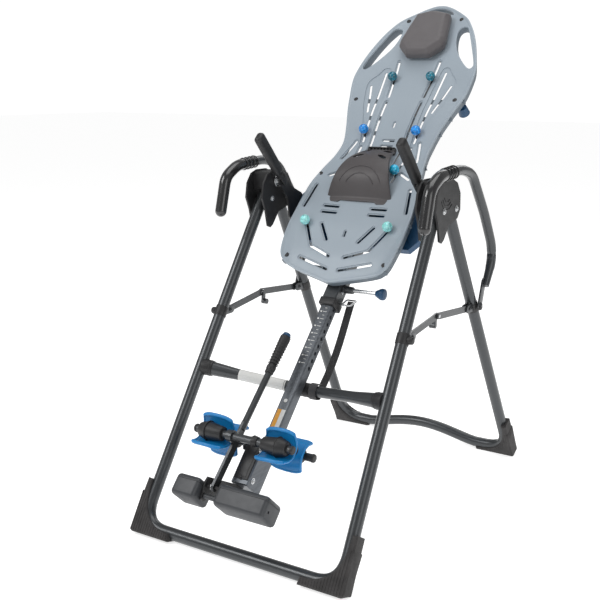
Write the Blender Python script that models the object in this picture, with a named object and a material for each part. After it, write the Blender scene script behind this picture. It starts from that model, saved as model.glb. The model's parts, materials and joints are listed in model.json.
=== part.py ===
"""Inversion table: a folding A-frame, a tilting bed, a sliding main shaft and an ankle lock.

Metres, +Z up, floor at z = 0. X runs across the table, -Y is the foot end, and the
plane x = 0 halves the frame. The frame's own Y starts under the pivot. The bed, the
shaft and the ankle lock are drawn in the bed's own axes: Y runs up the bed, Z stands
out of its front, and zero is the pivot.
"""

from math import atan2, cos, pi, radians, sin

import bmesh
import bpy
from mathutils import Matrix, Vector

# ---------------------------------------------------------------- driving dimensions
GAP = 0.0003                 # clearance between pieces that touch
FRAME_WIDTH = 0.730          # over the outside of the boots
FRONT_FOOT_Y = -0.600        # front floor bar
REAR_FOOT_Y = 0.567          # rear floor bar
PIVOT_HEIGHT = 0.985         # bed pivot above the floor
BED_ANGLE = radians(47.0)    # bed at rest, from level
PIVOT_Y = 0.01548            # bed pivot behind the middle of the table's length

# frame tubes
TUBE_SIDES = 16
LEG_RADIUS = 0.018
BAR_RADIUS = 0.0175
BAR_HEIGHT = 0.022           # floor bars' centres above the floor
LEG_TOP_DROP = 0.055         # legs' upper bolts below the pivot
LEG_TOP_X = 0.302
FRONT_TOP_Y = -0.0255
REAR_TOP_Y = 0.0590
REAR_ARCH = 0.034            # rise of the rear floor bar at its middle

# boots
BOOT_RADIUS = 0.0265
BOOT_BAR_LENGTH = 0.112
BOOT_LEG_LENGTH = 0.128
BOOT_SOCKET = 0.040          # depth that each tube enters its boot

# crossbar between the front legs, which the shaft rests on
CROSSBAR_HEIGHT = 0.444      # at the legs
CROSSBAR_RADIUS = 0.0165
CROSSBAR_ALONG = -0.600      # where the shaft lies on it, along the bed
CROSSBAR_FLAT = 0.036        # half of its straight middle
BUMPER_HALF_LENGTH = 0.030
BUMPER_WALL = 0.0046

# pivot brackets
BRACKET_INNER_X = 0.2640
BRACKET_PLATE = 0.0062
BRACKET_DROP = 0.146         # its lower tip below the pivot
BRACKET_LEG_GAP = 0.00114    # between the outer plate and the legs at the lower tip
HINGE_PIN_RADIUS = 0.010
HINGE_PIN_CLEARANCE = 0.0008
HINGE_PIN_TIP = 0.3030
LEG_BOLT_RADIUS = 0.005

# traction handles
HANDLE_RADIUS = 0.0150
HANDLE_BRACKET_GAP = 0.0010
HANDLE_TAB_THICKNESS = 0.0055
GRIP_RADIUS = 0.0175
GRIP_BORE_CLEARANCE = 0.0004

# spreaders
SPREADER_HEIGHT = 0.597      # front pins above the floor
SPREADER_LEG_OFFSET = 0.001114  # outside of the legs' centre lines
SPREADER_THICKNESS = 0.005
SPREADER_DEPTH = 0.020
SPREADER_PIN_RADIUS = 0.004
SPREADER_SIDE_GAP = 0.0006
SPREADER_STAND_OFF = 0.0380  # pins behind or ahead of their legs' centre lines
SPREADER_KNEE_SHARE = 0.460  # knee's place between the front and rear pins
SPREADER_KNEE_RISE = 0.0215  # knee above the line between the pins
LUG_THICKNESS = 0.004
LUG_DEPTH = 0.026

# bed board, from its lower tip to its head end
BED_LOWER = -0.295
BED_UPPER = 0.847
BED_FACE = -0.075            # board's front face at the hips
BOARD_DEPTH = 0.034
BOARD_FACE_THICKNESS = 0.008
BOARD_RIM = 0.007
BOARD_WIDTH_SCALE = 1.0
SLOT_WIDTH = 0.0092

# bed frame
SLEEVE_TOP = -0.1425         # below the pivot, square to the bed
SLEEVE_WALL = 0.0045
SHAFT_SIZE = 0.038
SHAFT_CLEARANCE = 0.0005
SLEEVE_SIZE = SHAFT_SIZE + 2 * (SHAFT_CLEARANCE + SLEEVE_WALL)
SHAFT_LEVEL = SLEEVE_TOP - SLEEVE_SIZE / 2
SLEEVE_LOWER = -0.340
SLEEVE_UPPER = 0.580
BACK_PAN_LOWER = -0.135
BACK_PAN_UPPER = 0.075
HINGE_ARM_X = 0.2400
HINGE_ARM_THICKNESS = 0.0055

# headrest, bridge, side grips, balls
HEADREST_HALF_WIDTH = 0.084
HEADREST_LOWER = 0.592
HEADREST_UPPER = 0.789
HEADREST_THICKNESS = 0.040
BRIDGE_HALF_WIDTH = 0.115
BRIDGE_LOWER = -0.010
BRIDGE_UPPER = 0.196
BRIDGE_RISE = 0.044
BRIDGE_THICKNESS = 0.009
SIDE_GRIP_WIDTH = 0.034
SIDE_GRIP_THICKNESS = 0.026
SIDE_GRIP_LENGTH = 0.165
BALL_RADIUS = 0.0160
BALL_STEM_RADIUS = 0.0036
BALL_NUT_RADIUS = 0.0110
BALL_NUT_THICKNESS = 0.005
BALL_CLEARANCE = 0.0012

# main shaft and its selector
SHAFT_LOWER = -0.955
SHAFT_UPPER = -0.060
SHAFT_HOLE_RADIUS = 0.0045
SHAFT_HOLE_PITCH = 0.0254
SHAFT_HOLES_ABOVE = 4
SHAFT_HOLES_BELOW = 9
SELECTOR_Y = -0.270
SELECTOR_PIN_RADIUS = 0.0040
SELECTOR_ROD_RADIUS = 0.0060
SELECTOR_KNOB_RADIUS = 0.0185
SELECTOR_KNOB_LENGTH = 0.030
SELECTOR_REACH = 0.165

# ankle lock
CARRIAGE_LOWER = -0.953
CARRIAGE_UPPER = -0.812
CARRIAGE_LEFT = -0.0300
CARRIAGE_RIGHT = 0.0250
CARRIAGE_FRONT = -0.0980
ANKLE_ROD_RADIUS = 0.0110
FRONT_ROD_HALF_LENGTH = 0.160
FRONT_ROD_Y = -0.848
FRONT_ROD_Z = -0.030
REAR_ROD_Y = -0.828
REAR_ROD_Z = -0.116
REAR_ROD_HALF_LENGTH = 0.178
CUP_INNER_X = 0.0545
CUP_HALF_WIDTH = 0.051
CUP_CENTRE_X = CUP_INNER_X + CUP_HALF_WIDTH
CUP_HALF_HEIGHT = 0.048
CUP_HUB_RADIUS = 0.0230
CUP_HUB_HALF_LENGTH = 0.040
CUP_THICKNESS = 0.006
CUP_RIM_CURL = 0.028
CUP_WRAP = 0.009
LEVER_X = -0.041
LEVER_PIVOT_Y = -0.992
LEVER_PIVOT_Z = -0.055
LEVER_PIN_RADIUS = 0.005
LEVER_LEAN = radians(2.8)
LEVER_TOP_Y = -0.503
LEVER_PLATE_LENGTH = 0.200
LEVER_PLATE_THICKNESS = 0.008
LEVER_PLATE_WIDTH = 0.024
LEVER_ROD_RADIUS = 0.0095
LEVER_GRIP_RADIUS = 0.0160
LEVER_GRIP_LENGTH = 0.115
BUTTON_RADIUS = 0.0125
BUTTON_STANDOUT = 0.014
BUTTON_SEAT = 0.0085         # free travel under the button

# footrest
FOOTREST_HALF_WIDTH = 0.153
FOOTREST_Y = -1.013
FOOTREST_Z = -0.0665
FOOTREST_DEPTH = 0.062
FOOTREST_HEIGHT = 0.084
FOOTREST_AXLE_Y = -1.020
FOOTREST_AXLE_Z = -0.062
FOOTREST_AXLE_RADIUS = 0.0075
FOOTREST_SLOT_LEFT = -0.0720
FOOTREST_SLOT_RIGHT = -0.0100
BRACKET_CHEEK = 0.006

# tether
TETHER_STAND_OFF = 0.023     # strap's middle outside of the sleeve
TETHER_X = SLEEVE_SIZE / 2 + TETHER_STAND_OFF
TETHER_WIDTH = 0.025
TETHER_THICKNESS = 0.0024
TETHER_EYE_Y = -0.2878
TETHER_EYE_DROP = 0.0068      # below the sleeve
TETHER_EYE_Z = SLEEVE_TOP - SLEEVE_SIZE - TETHER_EYE_DROP
TETHER_EYE_RADIUS = 0.0028
TETHER_BAR_CLEARANCE = 0.0062

LEG_TOP_HEIGHT = PIVOT_HEIGHT - LEG_TOP_DROP
LEG_FOOT_X = FRAME_WIDTH / 2 - BOOT_RADIUS
LEG_LEAN = (LEG_FOOT_X - LEG_TOP_X) / (LEG_TOP_HEIGHT - BAR_HEIGHT)
BRACKET_OUTER_X = (LEG_TOP_X + LEG_LEAN * (BRACKET_DROP - LEG_TOP_DROP) + LEG_RADIUS
                   + BRACKET_LEG_GAP + BRACKET_PLATE)
HANDLE_X = BRACKET_OUTER_X + HANDLE_BRACKET_GAP + HANDLE_RADIUS
SPREADER_X = (LEG_TOP_X + LEG_LEAN * (LEG_TOP_HEIGHT - SPREADER_HEIGHT)
              + SPREADER_LEG_OFFSET)
PIECES = bpy.data.collections.new("inversion_table")
HELPERS = bpy.data.collections.new("cutters")
OFFSETS = {}


# ---------------------------------------------------------------- scene and materials
def clear_scene():
    """Start from an empty file with the two collections linked."""
    for obj in list(bpy.data.objects):
        bpy.data.objects.remove(obj, do_unlink=True)
    scene = bpy.context.scene
    scene.collection.children.link(PIECES)
    scene.collection.children.link(HELPERS)
    HELPERS.hide_render = True


def frame_axes():
    """The empty under the pivot that the frame is drawn from."""
    return bpy.data.objects["frame_axes"]


def material(name, colour, roughness, metallic):
    """A Principled material of one finish."""
    found = bpy.data.materials.get(name)
    if found:
        return found
    made = bpy.data.materials.new(name)
    made.use_nodes = True
    shader = made.node_tree.nodes["Principled BSDF"]
    shader.inputs["Base Color"].default_value = (*colour, 1.0)
    shader.inputs["Roughness"].default_value = roughness
    shader.inputs["Metallic"].default_value = metallic
    return made


def frame_paint():
    return material("gunmetal_paint", (0.045, 0.050, 0.055), 0.35, 0.6)


def black_plastic():
    return material("black_plastic", (0.012, 0.012, 0.013), 0.45, 0.0)


def boot_rubber():
    return material("boot_rubber", (0.022, 0.021, 0.021), 0.75, 0.0)


def grip_vinyl():
    return material("grip_vinyl", (0.010, 0.010, 0.011), 0.22, 0.0)


def bed_plastic():
    return material("bed_plastic", (0.340, 0.405, 0.455), 0.42, 0.0)


def navy_paint():
    return material("navy_paint", (0.010, 0.040, 0.085), 0.40, 0.2)


def cup_blue():
    return material("cup_blue", (0.004, 0.190, 0.520), 0.35, 0.0)


def head_foam():
    return material("headrest_foam", (0.125, 0.115, 0.118), 0.60, 0.0)


def bridge_rubber():
    return material("bridge_rubber", (0.085, 0.078, 0.080), 0.55, 0.0)


def shaft_steel():
    return material("shaft_steel", (0.200, 0.220, 0.245), 0.38, 0.7)


def bolt_steel():
    return material("bolt_steel", (0.600, 0.610, 0.620), 0.25, 1.0)


def webbing():
    return material("webbing", (0.014, 0.014, 0.015), 0.85, 0.0)


# ---------------------------------------------------------------- small makers
def axis_empty(name, place, parent=None, rotation_x=0.0, own_axes=False):
    """An empty on a joint's axis. Pieces under it keep the axes that it was placed in."""
    made = bpy.data.objects.new(name, None)
    PIECES.objects.link(made)
    made.parent = parent
    above = OFFSETS.get(parent.name, Vector()) if parent else Vector()
    made.location = Vector(place) - above
    made.rotation_euler = (rotation_x, 0.0, 0.0)
    OFFSETS[name] = Vector() if own_axes else Vector(place)
    return made


def from_bmesh(name, mesh_data, finish, parent=None, origin=(0, 0, 0), helper=False):
    """An object made from a bmesh, as a piece or as a hidden helper."""
    bmesh.ops.recalc_face_normals(mesh_data, faces=mesh_data.faces)
    mesh_data.transform(Matrix.Translation(-Vector(origin)))
    mesh = bpy.data.meshes.new(name)
    mesh_data.to_mesh(mesh)
    mesh_data.free()
    made = bpy.data.objects.new(name, mesh)
    if helper:
        HELPERS.objects.link(made)
        made.hide_render = True
        made.display_type = "WIRE"
    else:
        PIECES.objects.link(made)
        mesh.materials.append(finish)
        mesh.shade_smooth()
        mesh.set_sharp_from_angle(angle=radians(35))
    if parent:
        made.parent = parent
        made.matrix_parent_inverse = Matrix.Translation(-OFFSETS[parent.name])
    made.location = origin
    return made


def box_mesh(size, centre, bevel=0.0, segments=1):
    """A box with its edges bevelled."""
    made = bmesh.new()
    place = Matrix.Translation(centre) @ Matrix.Diagonal((*size, 1.0))
    bmesh.ops.create_cube(made, size=1.0, matrix=place)
    if bevel:
        bmesh.ops.bevel(made, geom=made.edges[:], offset=bevel, segments=segments,
                        affect="EDGES", profile=0.5)
    return made


def turn_to(direction):
    """The rotation that takes +Z to a direction."""
    return Vector(direction).normalized().to_track_quat("Z", "Y").to_matrix().to_4x4()


def rod_mesh(start, end, radius, sides=TUBE_SIDES, end_radius=None):
    """A closed rod or cone from one point to another."""
    start = Vector(start)
    end = Vector(end)
    made = bmesh.new()
    place = Matrix.Translation((start + end) / 2) @ turn_to(end - start)
    bmesh.ops.create_cone(made, cap_ends=True, segments=sides, radius1=radius,
                          radius2=radius if end_radius is None else end_radius,
                          depth=(end - start).length, matrix=place)
    return made


def cross_rod(x0, x1, y, z, radius, sides=TUBE_SIDES):
    """A rod that runs across the table."""
    return rod_mesh((x0, y, z), (x1, y, z), radius, sides)


def ball_mesh(centre, radius, rings=10, sides=16):
    """A ball."""
    made = bmesh.new()
    bmesh.ops.create_uvsphere(made, u_segments=sides, v_segments=rings, radius=radius,
                              matrix=Matrix.Translation(centre))
    return made


def curve_mesh(points, radius, resolution=3, radii=None):
    """A welded tube along points."""
    data = bpy.data.curves.new("guide", "CURVE")
    data.dimensions = "3D"
    data.bevel_depth = radius
    data.bevel_resolution = resolution
    data.use_fill_caps = True
    line = data.splines.new("POLY")
    line.points.add(len(points) - 1)
    for index, point in enumerate(points):
        line.points[index].co = (*point, 1.0)
        line.points[index].radius = 1.0 if radii is None else radii[index]
    return welded_copy(data)


def outline_mesh(outline, thickness, holes=()):
    """A flat plate in XY, centred on z = 0, from an outline and its holes."""
    data = bpy.data.curves.new("guide", "CURVE")
    data.dimensions = "2D"
    data.fill_mode = "BOTH"
    data.extrude = thickness / 2
    for loop in (outline, *holes):
        line = data.splines.new("POLY")
        line.points.add(len(loop) - 1)
        line.use_cyclic_u = True
        for index, point in enumerate(loop):
            line.points[index].co = (point[0], point[1], 0.0, 1.0)
    return welded_copy(data)


def welded_copy(data):
    """A bmesh of what a curve makes, with its caps welded on."""
    guide = bpy.data.objects.new("guide", data)
    bpy.context.scene.collection.objects.link(guide)
    graph = bpy.context.evaluated_depsgraph_get()
    mesh = bpy.data.meshes.new_from_object(guide.evaluated_get(graph))
    made = bmesh.new()
    made.from_mesh(mesh)
    bmesh.ops.remove_doubles(made, verts=made.verts[:], dist=0.000005)
    bpy.data.objects.remove(guide, do_unlink=True)
    bpy.data.curves.remove(data)
    bpy.data.meshes.remove(mesh)
    return made


def side_plate(outline, x_centre, thickness, holes=()):
    """A plate whose outline is given as (y, z), standing across X."""
    made = outline_mesh(outline, thickness, holes)
    turn = Matrix(((0, 0, 1, 0), (1, 0, 0, 0), (0, 1, 0, 0), (0, 0, 0, 1)))
    made.transform(Matrix.Translation((x_centre, 0, 0)) @ turn)
    return made


def append(target, extra):
    """Put a second bmesh into the first."""
    mesh = bpy.data.meshes.new("extra")
    extra.to_mesh(mesh)
    extra.free()
    target.from_mesh(mesh)
    bpy.data.meshes.remove(mesh)


def raise_mesh(mesh, z):
    """Move a bmesh along Z."""
    mesh.transform(Matrix.Translation((0, 0, z)))


def circle(centre, radius, count=16):
    """Points round a circle."""
    turn = 2 * pi / count
    return [(centre[0] + radius * cos(turn * k), centre[1] + radius * sin(turn * k))
            for k in range(count)]


def slot_loop(start, end, width, arc=3):
    """A round-ended slot between two points."""
    heading = atan2(end[1] - start[1], end[0] - start[0])
    loop = []
    for centre, offset in ((end, -pi / 2), (start, pi / 2)):
        for k in range(arc + 1):
            angle = heading + offset + pi * k / arc
            loop.append((centre[0] + width / 2 * cos(angle),
                         centre[1] + width / 2 * sin(angle)))
    return loop


def arc_points(first, corner, last, steps):
    """Points on the smooth bend that a corner pulls between two points."""
    return [first * (1 - k / steps) ** 2 + corner * 2 * (k / steps) * (1 - k / steps)
            + last * (k / steps) ** 2 for k in range(steps + 1)]


def boolean(target, tool_mesh, operation):
    """Cut a helper from a piece, or join it to the piece."""
    name = f"{target.name}_{operation.lower()}_{len(target.modifiers)}"
    tool = from_bmesh(name, tool_mesh, None, parent=target.parent, helper=True)
    change = target.modifiers.new(name, "BOOLEAN")
    change.operation = operation
    change.solver = "EXACT"
    change.object = tool
    return tool


def cut(target, tool_mesh):
    return boolean(target, tool_mesh, "DIFFERENCE")


def join(target, tool_mesh):
    return boolean(target, tool_mesh, "UNION")


# ---------------------------------------------------------------- frame geometry
def sided(side):
    return "left" if side < 0 else "right"


def foot_x():
    """Where a leg's centre line meets its floor bar's height."""
    return LEG_FOOT_X


def leg_point(foot_y, top_y, height, side):
    """A point on a leg's centre line."""
    share = (height - BAR_HEIGHT) / (LEG_TOP_HEIGHT - BAR_HEIGHT)
    return Vector((side * (foot_x() + (LEG_TOP_X - foot_x()) * share),
                   foot_y + (top_y - foot_y) * share, height))


def front_leg_point(height, side):
    return leg_point(FRONT_FOOT_Y, FRONT_TOP_Y, height, side)


def rear_leg_point(height, side):
    return leg_point(REAR_FOOT_Y, REAR_TOP_Y, height, side)


def to_world(y, z):
    """A point in the bed's axes, as a world (y, z)."""
    return (y * cos(BED_ANGLE) - z * sin(BED_ANGLE),
            PIVOT_HEIGHT + y * sin(BED_ANGLE) + z * cos(BED_ANGLE))


def spreader_pins():
    """The front pin, the knee and the rear pin as (y, z)."""
    front = Vector((front_leg_point(SPREADER_HEIGHT, 1).y + SPREADER_STAND_OFF,
                    SPREADER_HEIGHT))
    rear_height = SPREADER_HEIGHT + 0.003
    rear = Vector((rear_leg_point(rear_height, 1).y - SPREADER_STAND_OFF - 0.005,
                   rear_height))
    knee = front.lerp(rear, SPREADER_KNEE_SHARE) + Vector((0, SPREADER_KNEE_RISE))
    return front, knee, rear


def add_leg(name, point_at, side, parent, bolt_y):
    """One straight leg from its boot's socket to its bolt in the pivot bracket."""
    foot = point_at(BAR_HEIGHT, side)
    top = point_at(LEG_TOP_HEIGHT, side)
    along = (top - foot).normalized()
    start = foot + along * (BOOT_LEG_LENGTH - BOOT_SOCKET)
    leg = from_bmesh(name, rod_mesh(start, top + along * 0.010, LEG_RADIUS),
                     frame_paint(), parent)
    cut(leg, cross_rod(side * 0.255, side * 0.345, bolt_y, LEG_TOP_HEIGHT,
                       LEG_BOLT_RADIUS + GAP, 12))
    return leg


def add_lugs(leg, pin, toward_leg, side):
    """Two cheeks welded to a leg, and the pin between them for a spreader's end."""
    near = (pin[0] - toward_leg * 0.009, pin[1])
    far = (pin[0] + toward_leg * 0.031, pin[1])
    reach = SPREADER_THICKNESS + SPREADER_SIDE_GAP + LUG_THICKNESS / 2
    for offset in (-reach, reach):
        outline = slot_loop(near, far, LUG_DEPTH, arc=4)
        join(leg, side_plate(outline, side * SPREADER_X + offset, LUG_THICKNESS))
    tip = reach + LUG_THICKNESS / 2 - 0.001
    join(leg, cross_rod(side * SPREADER_X - tip, side * SPREADER_X + tip, *pin,
                        SPREADER_PIN_RADIUS, 12))


def add_boot(name, point_at, side, parent):
    """A moulded corner boot that holds a leg and the end of a floor bar."""
    foot = point_at(BAR_HEIGHT, side)
    along = (point_at(LEG_TOP_HEIGHT, side) - foot).normalized()
    inward = Vector((-side, 0, 0))
    bend = 0.030
    bar_end = foot + inward * BOOT_BAR_LENGTH
    leg_end = foot + along * BOOT_LEG_LENGTH
    path = [bar_end, *arc_points(foot + inward * bend, foot, foot + along * bend, 5), leg_end]
    boot = from_bmesh(name, curve_mesh(path, BOOT_RADIUS, 3), boot_rubber(), parent)
    heel = box_mesh((0.044, 0.046, 0.014), (foot.x - side * 0.006, foot.y, 0.006), 0.002)
    join(boot, heel)
    cut(boot, box_mesh((0.30, 0.30, 0.04), (foot.x, foot.y, -0.02)))
    cut(boot, rod_mesh(foot + along * (BOOT_LEG_LENGTH - BOOT_SOCKET - GAP),
                       leg_end + along * 0.03, LEG_RADIUS + GAP))
    cut(boot, rod_mesh(foot + inward * (BOOT_BAR_LENGTH - BOOT_SOCKET - GAP),
                       bar_end + inward * 0.03, BAR_RADIUS + 2 * GAP))
    return boot


def add_front_frame():
    """The front legs, floor bar, boots, crossbar and pivot brackets."""
    front_pin, _, _ = spreader_pins()
    for side in (-1, 1):
        leg = add_leg(f"front_leg_{sided(side)}", front_leg_point, side, frame_axes(),
                      FRONT_TOP_Y)
        add_lugs(leg, front_pin, -1, side)
        add_boot(f"front_boot_{sided(side)}", front_leg_point, side, frame_axes())
        add_pivot_bracket(side)
    reach = foot_x() - BOOT_BAR_LENGTH + BOOT_SOCKET
    from_bmesh("front_floor_bar",
               cross_rod(-reach, reach, FRONT_FOOT_Y, BAR_HEIGHT, BAR_RADIUS), frame_paint(),
               frame_axes())
    add_crossbar()


def crossbar_point(x):
    """The crossbar's centre line: a straight middle, and two arms up to the legs."""
    middle = to_world(CROSSBAR_ALONG, SHAFT_LEVEL - SHAFT_SIZE / 2 - GAP
                      - CROSSBAR_RADIUS - BUMPER_WALL)
    end = front_leg_point(CROSSBAR_HEIGHT, 1)
    share = max(0.0, (abs(x) - CROSSBAR_FLAT) / (end.x - CROSSBAR_FLAT))
    return Vector((x, middle[0] + (end.y - middle[0]) * share,
                   middle[1] + (end.z - middle[1]) * share))


def add_crossbar():
    """The bent bar between the front legs, flared at its ends, and its rubber bumper."""
    end_x = front_leg_point(CROSSBAR_HEIGHT, 1).x - LEG_RADIUS - 0.004
    stations = (end_x, end_x - 0.050, end_x - 0.085, CROSSBAR_FLAT)
    radii = (1.30, 1.18, 1.0, 1.0)
    points = [crossbar_point(-x) for x in stations] + [crossbar_point(x) for x in stations[::-1]]
    bar = from_bmesh("front_crossbar",
                     curve_mesh(points, CROSSBAR_RADIUS, 3, radii + radii[::-1]),
                     frame_paint(), frame_axes())
    for side in (-1, 1):
        collar = rod_mesh(crossbar_point(side * (end_x - 0.014)),
                          crossbar_point(side * (end_x + 0.001)), 0.0235, 20)
        join(bar, collar)
        cut(bar, rod_mesh(front_leg_point(CROSSBAR_HEIGHT - 0.1, side),
                          front_leg_point(CROSSBAR_HEIGHT + 0.1, side), LEG_RADIUS + GAP))
    middle = crossbar_point(0)
    bumper = from_bmesh("crossbar_bumper",
                        cross_rod(-BUMPER_HALF_LENGTH, BUMPER_HALF_LENGTH, middle.y, middle.z,
                                  CROSSBAR_RADIUS + BUMPER_WALL, 24), black_plastic(),
                        frame_axes())
    cut(bumper, cross_rod(-0.05, 0.05, middle.y, middle.z, CROSSBAR_RADIUS + 2 * GAP, 24))


def bracket_outline():
    """The pivot bracket's shield outline as (y, z)."""
    drops = ((-0.036, -BRACKET_DROP), (-0.050, -0.140), (-0.062, -0.090), (-0.080, -0.050),
             (-0.072, -0.004), (-0.050, 0.024), (-0.020, 0.034), (0.030, 0.034),
             (0.064, 0.020), (0.086, -0.012), (0.088, -0.060), (0.070, -0.084),
             (0.010, -0.100), (-0.022, -0.138))
    return [(y, PIVOT_HEIGHT + drop) for y, drop in drops]


def add_pivot_bracket(side):
    """Two shield plates, a top block and two bolts that hold the legs and the bed's pin."""
    outer = BRACKET_OUTER_X - BRACKET_PLATE / 2
    inner = BRACKET_INNER_X + BRACKET_PLATE / 2
    bracket = from_bmesh(f"pivot_bracket_{sided(side)}",
                         side_plate(bracket_outline(), side * inner, BRACKET_PLATE),
                         black_plastic(), frame_axes())
    join(bracket, side_plate(bracket_outline(), side * outer, BRACKET_PLATE))
    low = LEG_TOP_HEIGHT + 0.027
    high = PIVOT_HEIGHT + 0.030
    join(bracket, box_mesh((outer - inner + 0.002, 0.090, high - low),
                           (side * (inner + outer) / 2, 0.004, (low + high) / 2), 0.004))
    for y in (FRONT_TOP_Y, REAR_TOP_Y):
        join(bracket, cross_rod(side * (BRACKET_INNER_X + 0.001),
                                side * (BRACKET_OUTER_X - 0.001), y, LEG_TOP_HEIGHT,
                                LEG_BOLT_RADIUS, 12))
    cut(bracket, cross_rod(side * 0.240, side * (HINGE_PIN_TIP + 0.0005), 0, PIVOT_HEIGHT,
                           HINGE_PIN_RADIUS + HINGE_PIN_CLEARANCE, 24))
    return bracket


# ---------------------------------------------------------------- rear frame
def add_rear_frame():
    """The rear legs, arched floor bar, boots and traction handles, which fold forward."""
    hinge = axis_empty("rear_fold_axis", (0, REAR_TOP_Y, LEG_TOP_HEIGHT), frame_axes())
    _, _, rear_pin = spreader_pins()
    for side in (-1, 1):
        leg = add_leg(f"rear_leg_{sided(side)}", rear_leg_point, side, hinge, REAR_TOP_Y)
        add_lugs(leg, rear_pin, 1, side)
        add_boot(f"rear_boot_{sided(side)}", rear_leg_point, side, hinge)
        add_traction_handle(side, hinge)
    reach = foot_x() - BOOT_BAR_LENGTH + BOOT_SOCKET
    flat = foot_x() - BOOT_BAR_LENGTH - 0.012
    points = [(-reach, REAR_FOOT_Y, BAR_HEIGHT), (-flat, REAR_FOOT_Y, BAR_HEIGHT)]
    steps = 8
    for k in range(1, steps):
        rise = REAR_ARCH * sin(pi * k / steps) ** 1.2
        points.append((-flat + 2 * flat * k / steps, REAR_FOOT_Y, BAR_HEIGHT + rise))
    points += [(flat, REAR_FOOT_Y, BAR_HEIGHT), (reach, REAR_FOOT_Y, BAR_HEIGHT)]
    from_bmesh("rear_floor_bar", curve_mesh(points, BAR_RADIUS, 3), frame_paint(), hinge)
    return hinge


def handle_tab_point():
    """Where a handle's tab meets the rear leg, as (y, z)."""
    leg = rear_leg_point(SPREADER_HEIGHT + 0.010, 1)
    return Vector((leg.y + 0.003, leg.z))


def handle_path():
    """A traction handle's centre line as (y, z), from its front end to its rear end."""
    top = PIVOT_HEIGHT
    tab = handle_tab_point()
    corners = [(-0.185, top - 0.080), (-0.158, top + 0.019), (-0.098, top + 0.051),
               (0.050, top + 0.061), (0.128, top + 0.041), (0.232, top - 0.085),
               (tab.x + 0.062, tab.y + 0.183), (tab.x + 0.068, tab.y + 0.128),
               (tab.x + 0.024, tab.y + 0.057)]
    bends = (0.021, 0.021, 0.035, 0.032, 0.021, 0.028, 0.028)
    corners = [Vector(corner) for corner in corners]
    points = [corners[0]]
    for before, at, after, reach in zip(corners, corners[1:], corners[2:], bends):
        first = at + (before - at).normalized() * reach
        last = at + (after - at).normalized() * reach
        points += arc_points(first, at, last, 3)
    return points + [corners[-1]]


def add_traction_handle(side, parent):
    """One bent tube with a tab to the rear leg, and the vinyl grip on its front end."""
    flat = handle_path()
    path = [Vector((side * HANDLE_X, y, z)) for y, z in flat]
    tube = from_bmesh(f"traction_handle_{sided(side)}", curve_mesh(path, HANDLE_RADIUS, 3),
                      frame_paint(), parent)
    tab = handle_tab_point()
    leg = rear_leg_point(tab.y, side)
    tab_x = max(abs(leg.x) + LEG_RADIUS + GAP * 4 + HANDLE_TAB_THICKNESS / 2, HANDLE_X - 0.006)
    outline = slot_loop(tab, (flat[-1][0], flat[-1][1] + 0.012), 0.026, arc=5)
    join(tube, side_plate(outline, side * tab_x, HANDLE_TAB_THICKNESS))
    ahead = path[0] + (path[0] - path[1]).normalized() * 0.004
    grip_points = 8
    grip = from_bmesh(f"handle_grip_{sided(side)}",
                      curve_mesh([ahead, *path[1:grip_points]], GRIP_RADIUS, 3),
                      grip_vinyl(), parent)
    cut(grip, curve_mesh(path[:grip_points + 2], HANDLE_RADIUS + GRIP_BORE_CLEARANCE, 3))


# ---------------------------------------------------------------- spreaders
def add_spreader(name, pin, knee, side, lane, parent, catch=False):
    """One flat link from a leg's lugs to the knee. Its lane puts it beside its partner."""
    step = (SPREADER_THICKNESS + SPREADER_SIDE_GAP) / 2
    x = side * (SPREADER_X + lane * step)
    hole = circle(pin, SPREADER_PIN_RADIUS + 0.0004, 12)
    mesh = side_plate(slot_loop(pin, knee, SPREADER_DEPTH, arc=5), x, SPREADER_THICKNESS,
                      (hole,))
    link = from_bmesh(name, mesh, frame_paint(), parent, origin=(0, *pin))
    if catch:
        face = SPREADER_X + lane * (step + SPREADER_THICKNESS / 2)
        hang = (knee[0] - 0.002, knee[1] - 0.030)
        join(link, side_plate(slot_loop(knee, hang, 0.012, arc=4),
                              side * (face + lane * 0.003), 0.008))
        join(link, cross_rod(side * face, side * (face + lane * 0.018), *hang, 0.009, 14))
    return link


def add_spreaders(rear):
    """Four links, a front and a rear one on each side, that meet at the knee."""
    front_pin, knee, rear_pin = spreader_pins()
    for side in (-1, 1):
        name = sided(side)
        add_spreader(f"spreader_front_{name}", front_pin, knee, side, -1,
                     frame_axes(), catch=True)
        add_spreader(f"spreader_rear_{name}", rear_pin, knee, side, 1, rear)


# ---------------------------------------------------------------- bed board
def board_edge():
    """The right edge of the board as (x, y), from its lower tip to its head end."""
    edge = ((0.010, -0.295), (0.055, -0.283), (0.130, -0.266), (0.176, -0.250),
            (0.199, -0.226), (0.208, -0.180), (0.214, -0.120), (0.213, -0.040),
            (0.203, 0.040), (0.188, 0.120), (0.171, 0.190), (0.168, 0.245), (0.181, 0.310),
            (0.203, 0.380), (0.222, 0.450), (0.229, 0.505), (0.228, 0.548), (0.215, 0.598),
            (0.198, 0.650), (0.175, 0.704), (0.151, 0.745), (0.129, 0.775), (0.100, 0.800),
            (0.068, 0.824), (0.034, 0.841), (0.012, 0.847))
    return [Vector((x * BOARD_WIDTH_SCALE, stretched(y))) for x, y in edge]


def stretched(y):
    """A place along the drawn board, moved to the board's own length."""
    return y * BED_LOWER / -0.295 if y < 0 else y * BED_UPPER / 0.847


def board_outline(inset=0.0):
    """The board's outline, or the same drawn in by an inset."""
    right = board_edge()
    loop = right + [Vector((-p.x, p.y)) for p in right[::-1]]
    if not inset:
        return loop
    moved = []
    for index, point in enumerate(loop):
        along = (loop[(index + 1) % len(loop)] - loop[index - 1]).normalized()
        moved.append(point + Vector((-along.y, along.x)) * inset)
    return moved


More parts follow.
